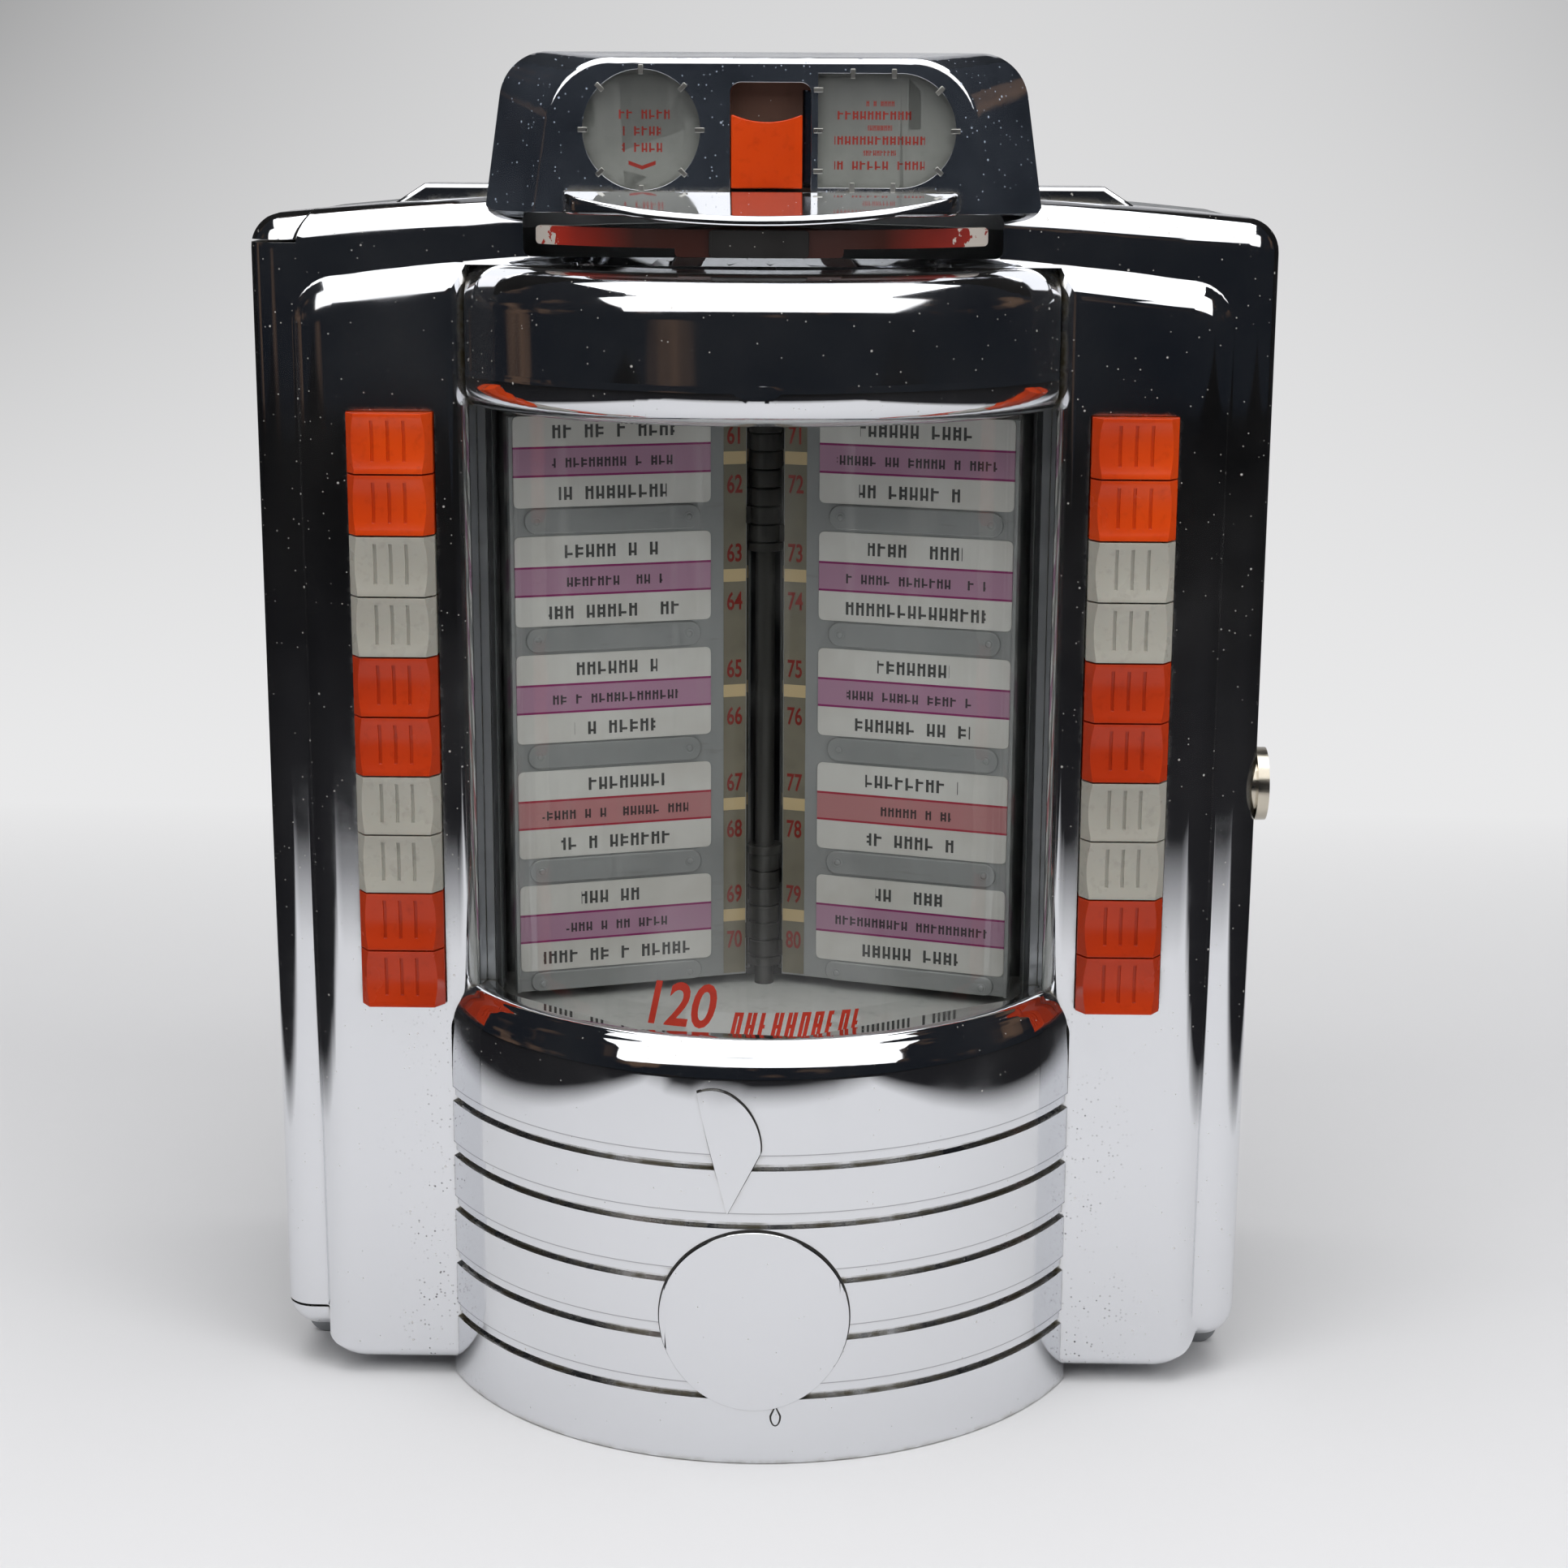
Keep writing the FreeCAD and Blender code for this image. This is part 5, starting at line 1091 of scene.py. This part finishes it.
def cardMaterial(s, page):
    material, tree, shader = newMaterial("printedCard")
    chart = node(tree, "UVMap", uv_map="print")
    axes = node(tree, "SeparateXYZ", {0: chart.outputs[0]}).outputs
    up = axes["Y"]
    serial = maths(tree, "FLOOR", maths(tree, "DIVIDE", axes["X"], page["mapStep"]))
    across = maths(tree, "SUBTRACT", axes["X"], maths(tree, "MULTIPLY", serial, page["mapStep"]))
    row = maths(tree, "FLOOR", maths(tree, "DIVIDE", maths(tree, "FLOORED_MODULO", serial, 10.0), 2.0))
    warm = within(tree, row, s["warmRow"], 0.1)
    cloud = noise(tree, place(tree), 40, 4.0, 0.6)
    tone = blendColour(tree, ramp(tree, cloud, 0.4, 0.75), s["paper"], s["aged"])
    band = blendColour(tree, warm, s["band"], s["warmBand"])
    rule = blendColour(tree, warm, s["rule"], s["warmRule"])
    tone = blendColour(tree, within(tree, up, s["middle"], s["halfBand"]), tone, band)
    for edge in (-1, 1):
        ruled = within(tree, up, s["middle"] + edge * s["halfBand"], s["halfRule"])
        tone = blendColour(tree, ruled, tone, rule)
    for line in s["lines"]:
        ink = greekedLine(tree, across, up, serial, line, sum(page["card"]) / 2)
        tone = blendColour(tree, maths(tree, "MULTIPLY", ink, s["strength"]), tone, s["ink"])
    finishShader(tree, shader, tone, ramp(tree, cloud, 0.3, 0.7, 0.5, 0.65),
                 noise(tree, place(tree), 1500, 2.0), 0.05, 0.0001)
    return material


def addPages(s):
    paint = pagePaint(framePaint)
    column = columnMaterial(columnPaint, s)
    card = cardMaterial(printing, s)
    numeral = plasticMaterial("numeralRed", (0.30, 0.022, 0.014), (0.20, 0.014, 0.010), 0.5)
    for index, rest in enumerate(s["angles"]):
        body = f"leaf_{index + 1}"
        angle = math.radians(rest - 90)
        finishPiece(f"pageFrame{index + 1}", pageFrame(s), [paint], body, angle, replaces=[body])
        finishPiece(f"pageHinge{index + 1}", pageHinge(s, index), [darkSteel], body, angle)
        finishPiece(f"pageCards{index + 1}", pageCards(s, index), [card], body, angle)
        finishPiece(f"pageColumns{index + 1}", pageColumns(s), [column], body, angle)
        numerals = pageNumerals(s, index)
        turn = Matrix.Rotation(angle, 3, "Z")
        bmesh.ops.rotate(numerals, verts=numerals.verts, cent=(0, 0, 0), matrix=turn)
        bmesh.ops.scale(numerals, verts=numerals.verts, vec=(mm, mm, mm))
        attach(meshObject(f"pageNumerals{index + 1}", numerals, [numeral]), body)
    print("title pages")


addPages(pages)


# small things on the door

glassNumerals = {
    "word": "120",
    "radius": 86.08,
    "height": 13.2,
    "width": 0.80,
    "slant": 0.22,
    "centre": -22.8,
    "level": 132.4,
    "bendEvery": 1.5,
    "line": {"first": -6.0, "last": 33.0, "cells": 10, "height": 8.4, "level": 127.6, "stroke": 1.15,
             "wide": 0.68, "overlap": 0.9, "secondBelow": 0.5, "barBelow": 0.6, "seed": 12},
}


def strokesInto(bm, s):
    # a line of plain strokes that stands in for a printed word
    pick = random.Random(s["seed"])
    pitch = (s["last"] - s["first"]) / s["cells"]
    wide, tall, thick = pitch * s["wide"], s["height"], s["stroke"]
    lap = thick * s["overlap"]
    for cell in range(s["cells"]):
        left = s["first"] + cell * pitch
        bars = [(left, s["level"], thick, tall)]
        if pick.random() < s["secondBelow"]:
            bars.append((left + wide - thick, s["level"], thick, tall))
        for share in (-0.5, 0.0, 0.5):
            if pick.random() < s["barBelow"]:
                bars.append((left + lap, s["level"] + share * (tall - thick), wide - 2 * lap, thick))
        for x, y, width, height in bars:
            made = bmesh.ops.create_grid(bm, x_segments=1, y_segments=1, size=0.5)
            bmesh.ops.scale(bm, verts=made["verts"], vec=(width, height, 1))
            bmesh.ops.translate(bm, verts=made["verts"], vec=(x + width / 2, y, 0))


def addGlassNumerals(s):
    # plain count printed low on the window, bent round it
    mesh = numeralMesh(s["word"])
    bm = bmesh.new()
    bm.from_mesh(mesh)
    bpy.data.meshes.remove(mesh)
    size = s["height"] * figures["size"]
    bmesh.ops.scale(bm, verts=bm.verts, vec=(size * s["width"], size, 1))
    bmesh.ops.translate(bm, verts=bm.verts, vec=(s["centre"], s["level"], 0))
    strokesInto(bm, s["line"])
    longer = [e for e in bm.edges if e.calc_length() > s["bendEvery"]]
    bmesh.ops.subdivide_edges(bm, edges=longer, cuts=2)
    bmesh.ops.triangulate(bm, faces=bm.faces)
    for vert in bm.verts:
        up = vert.co.y
        angle = (vert.co.x + (up - s["level"]) * s["slant"]) / s["radius"]
        vert.co = Vector((s["radius"] * math.sin(angle), -s["radius"] * math.cos(angle), up)) * mm
    paint = plasticMaterial("windowRed", (0.50, 0.035, 0.015), (0.40, 0.025, 0.012), 0.4)
    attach(meshObject("windowNumerals", bm, [paint]), "door")


def bentRound(across, up, reach):
    # a place on the base, from its distance round it, its height and its distance from the spindle
    angle = across / collarRoll["radius"]
    return Vector((reach * math.sin(angle), -reach * math.cos(angle), up))


keyDrop = {
    "place": (6.3, 15.2),
    "size": (1.7, 3.2),
    "taper": 0.75,
    "rim": 0.55,
    "sunk": 0.3,
    "shadowRimProud": 0.15,
    "proud": 0.40,
}


def addKeyDrop(s):
    # drop-shaped plate in a painted shadow, a dark rim round it, low on the base
    layers = (("dropSeam", 0.0, s["shadowRimProud"], darkSteel), ("dropPlate", s["rim"], s["proud"], chromeBase))
    for name, rim, proud, material in layers:
        bm = bmesh.new()
        made = bmesh.ops.create_circle(bm, cap_ends=True, segments=28, radius=1.0)
        wide, tall = (size - rim for size in s["size"])
        for vert in made["verts"]:
            vert.co.x *= wide * (1.0 - s["taper"] * max(vert.co.y, 0.0))
            vert.co.y *= tall
        shell = bmesh.ops.extrude_face_region(bm, geom=bm.faces[:])
        bmesh.ops.translate(bm, verts=newVerts(shell), vec=(0, 0, proud + s["sunk"]))
        for vert in bm.verts:
            reach = collarRoll["radius"] - s["sunk"] + vert.co.z
            vert.co = bentRound(vert.co.x + s["place"][0], vert.co.y + s["place"][1], reach)
        finishPiece(name, bm, [material], "door")


plateShadowLine = {
    "grow": 0.38,
    "proud": 0.22,
}


def baseReach(up):
    # the base's outer radius at a height
    s = collarRoll
    return s["radius"] + (alongTable(s["level"], s["lean"], up) if up > s["level"][0] else 0.0)


def addPlateSeam(node, s):
    # painted shadow: a dark line round a plate on the base
    bm = mergedCopy(node)
    rollCollar(bm)
    places = [(math.atan2(v.co.x, -v.co.y) * collarRoll["radius"], v.co.z / mm) for v in bm.verts]
    middle = [(min(p[k] for p in places) + max(p[k] for p in places)) / 2 for k in (0, 1)]
    for vert, (across, up) in zip(bm.verts, places):
        reach = min(math.hypot(vert.co.x, vert.co.y) / mm, baseReach(up) + s["proud"])
        away = Vector((across - middle[0], up - middle[1]))
        away += away.normalized() * s["grow"]
        vert.co = bentRound(middle[0] + away.x, middle[1] + away.y, reach)
    finishPiece(node + "Seam", bm, [darkSteel], "door")


grommetWeb = {
    "place": (0.0, 85.2, 96.0),
    "radius": 9.3,
    "thickness": 1.0,
    "rib": 5.0,
    "step": (0.6, 0.4),
}


def addGrommetWeb(s):
    # thin blind web across the cable grommet
    bm = bmesh.new()
    bmesh.ops.create_circle(bm, cap_ends=True, segments=36, radius=s["radius"])
    for thickness, depth in ((s["radius"] - s["rib"], 0.0), s["step"]):
        middle = min(bm.faces, key=lambda f: f.calc_center_median().length)
        bmesh.ops.inset_region(bm, faces=[middle], thickness=thickness, depth=depth, use_even_offset=True)
    bmesh.ops.solidify(bm, geom=bm.faces[:], thickness=s["thickness"])
    upright = Matrix.Rotation(math.radians(90), 3, "X")
    bmesh.ops.rotate(bm, verts=bm.verts, cent=(0, 0, 0), matrix=upright)
    bmesh.ops.translate(bm, verts=bm.verts, vec=s["place"])
    finishPiece("grommetWeb", bm, [blackPlastic], "case")


addGrommetWeb(grommetWeb)
addPlateSeam("medallion", plateShadowLine)
addPlateSeam("crest", plateShadowLine)
addGlassNumerals(glassNumerals)
addKeyDrop(keyDrop)
print("small things")
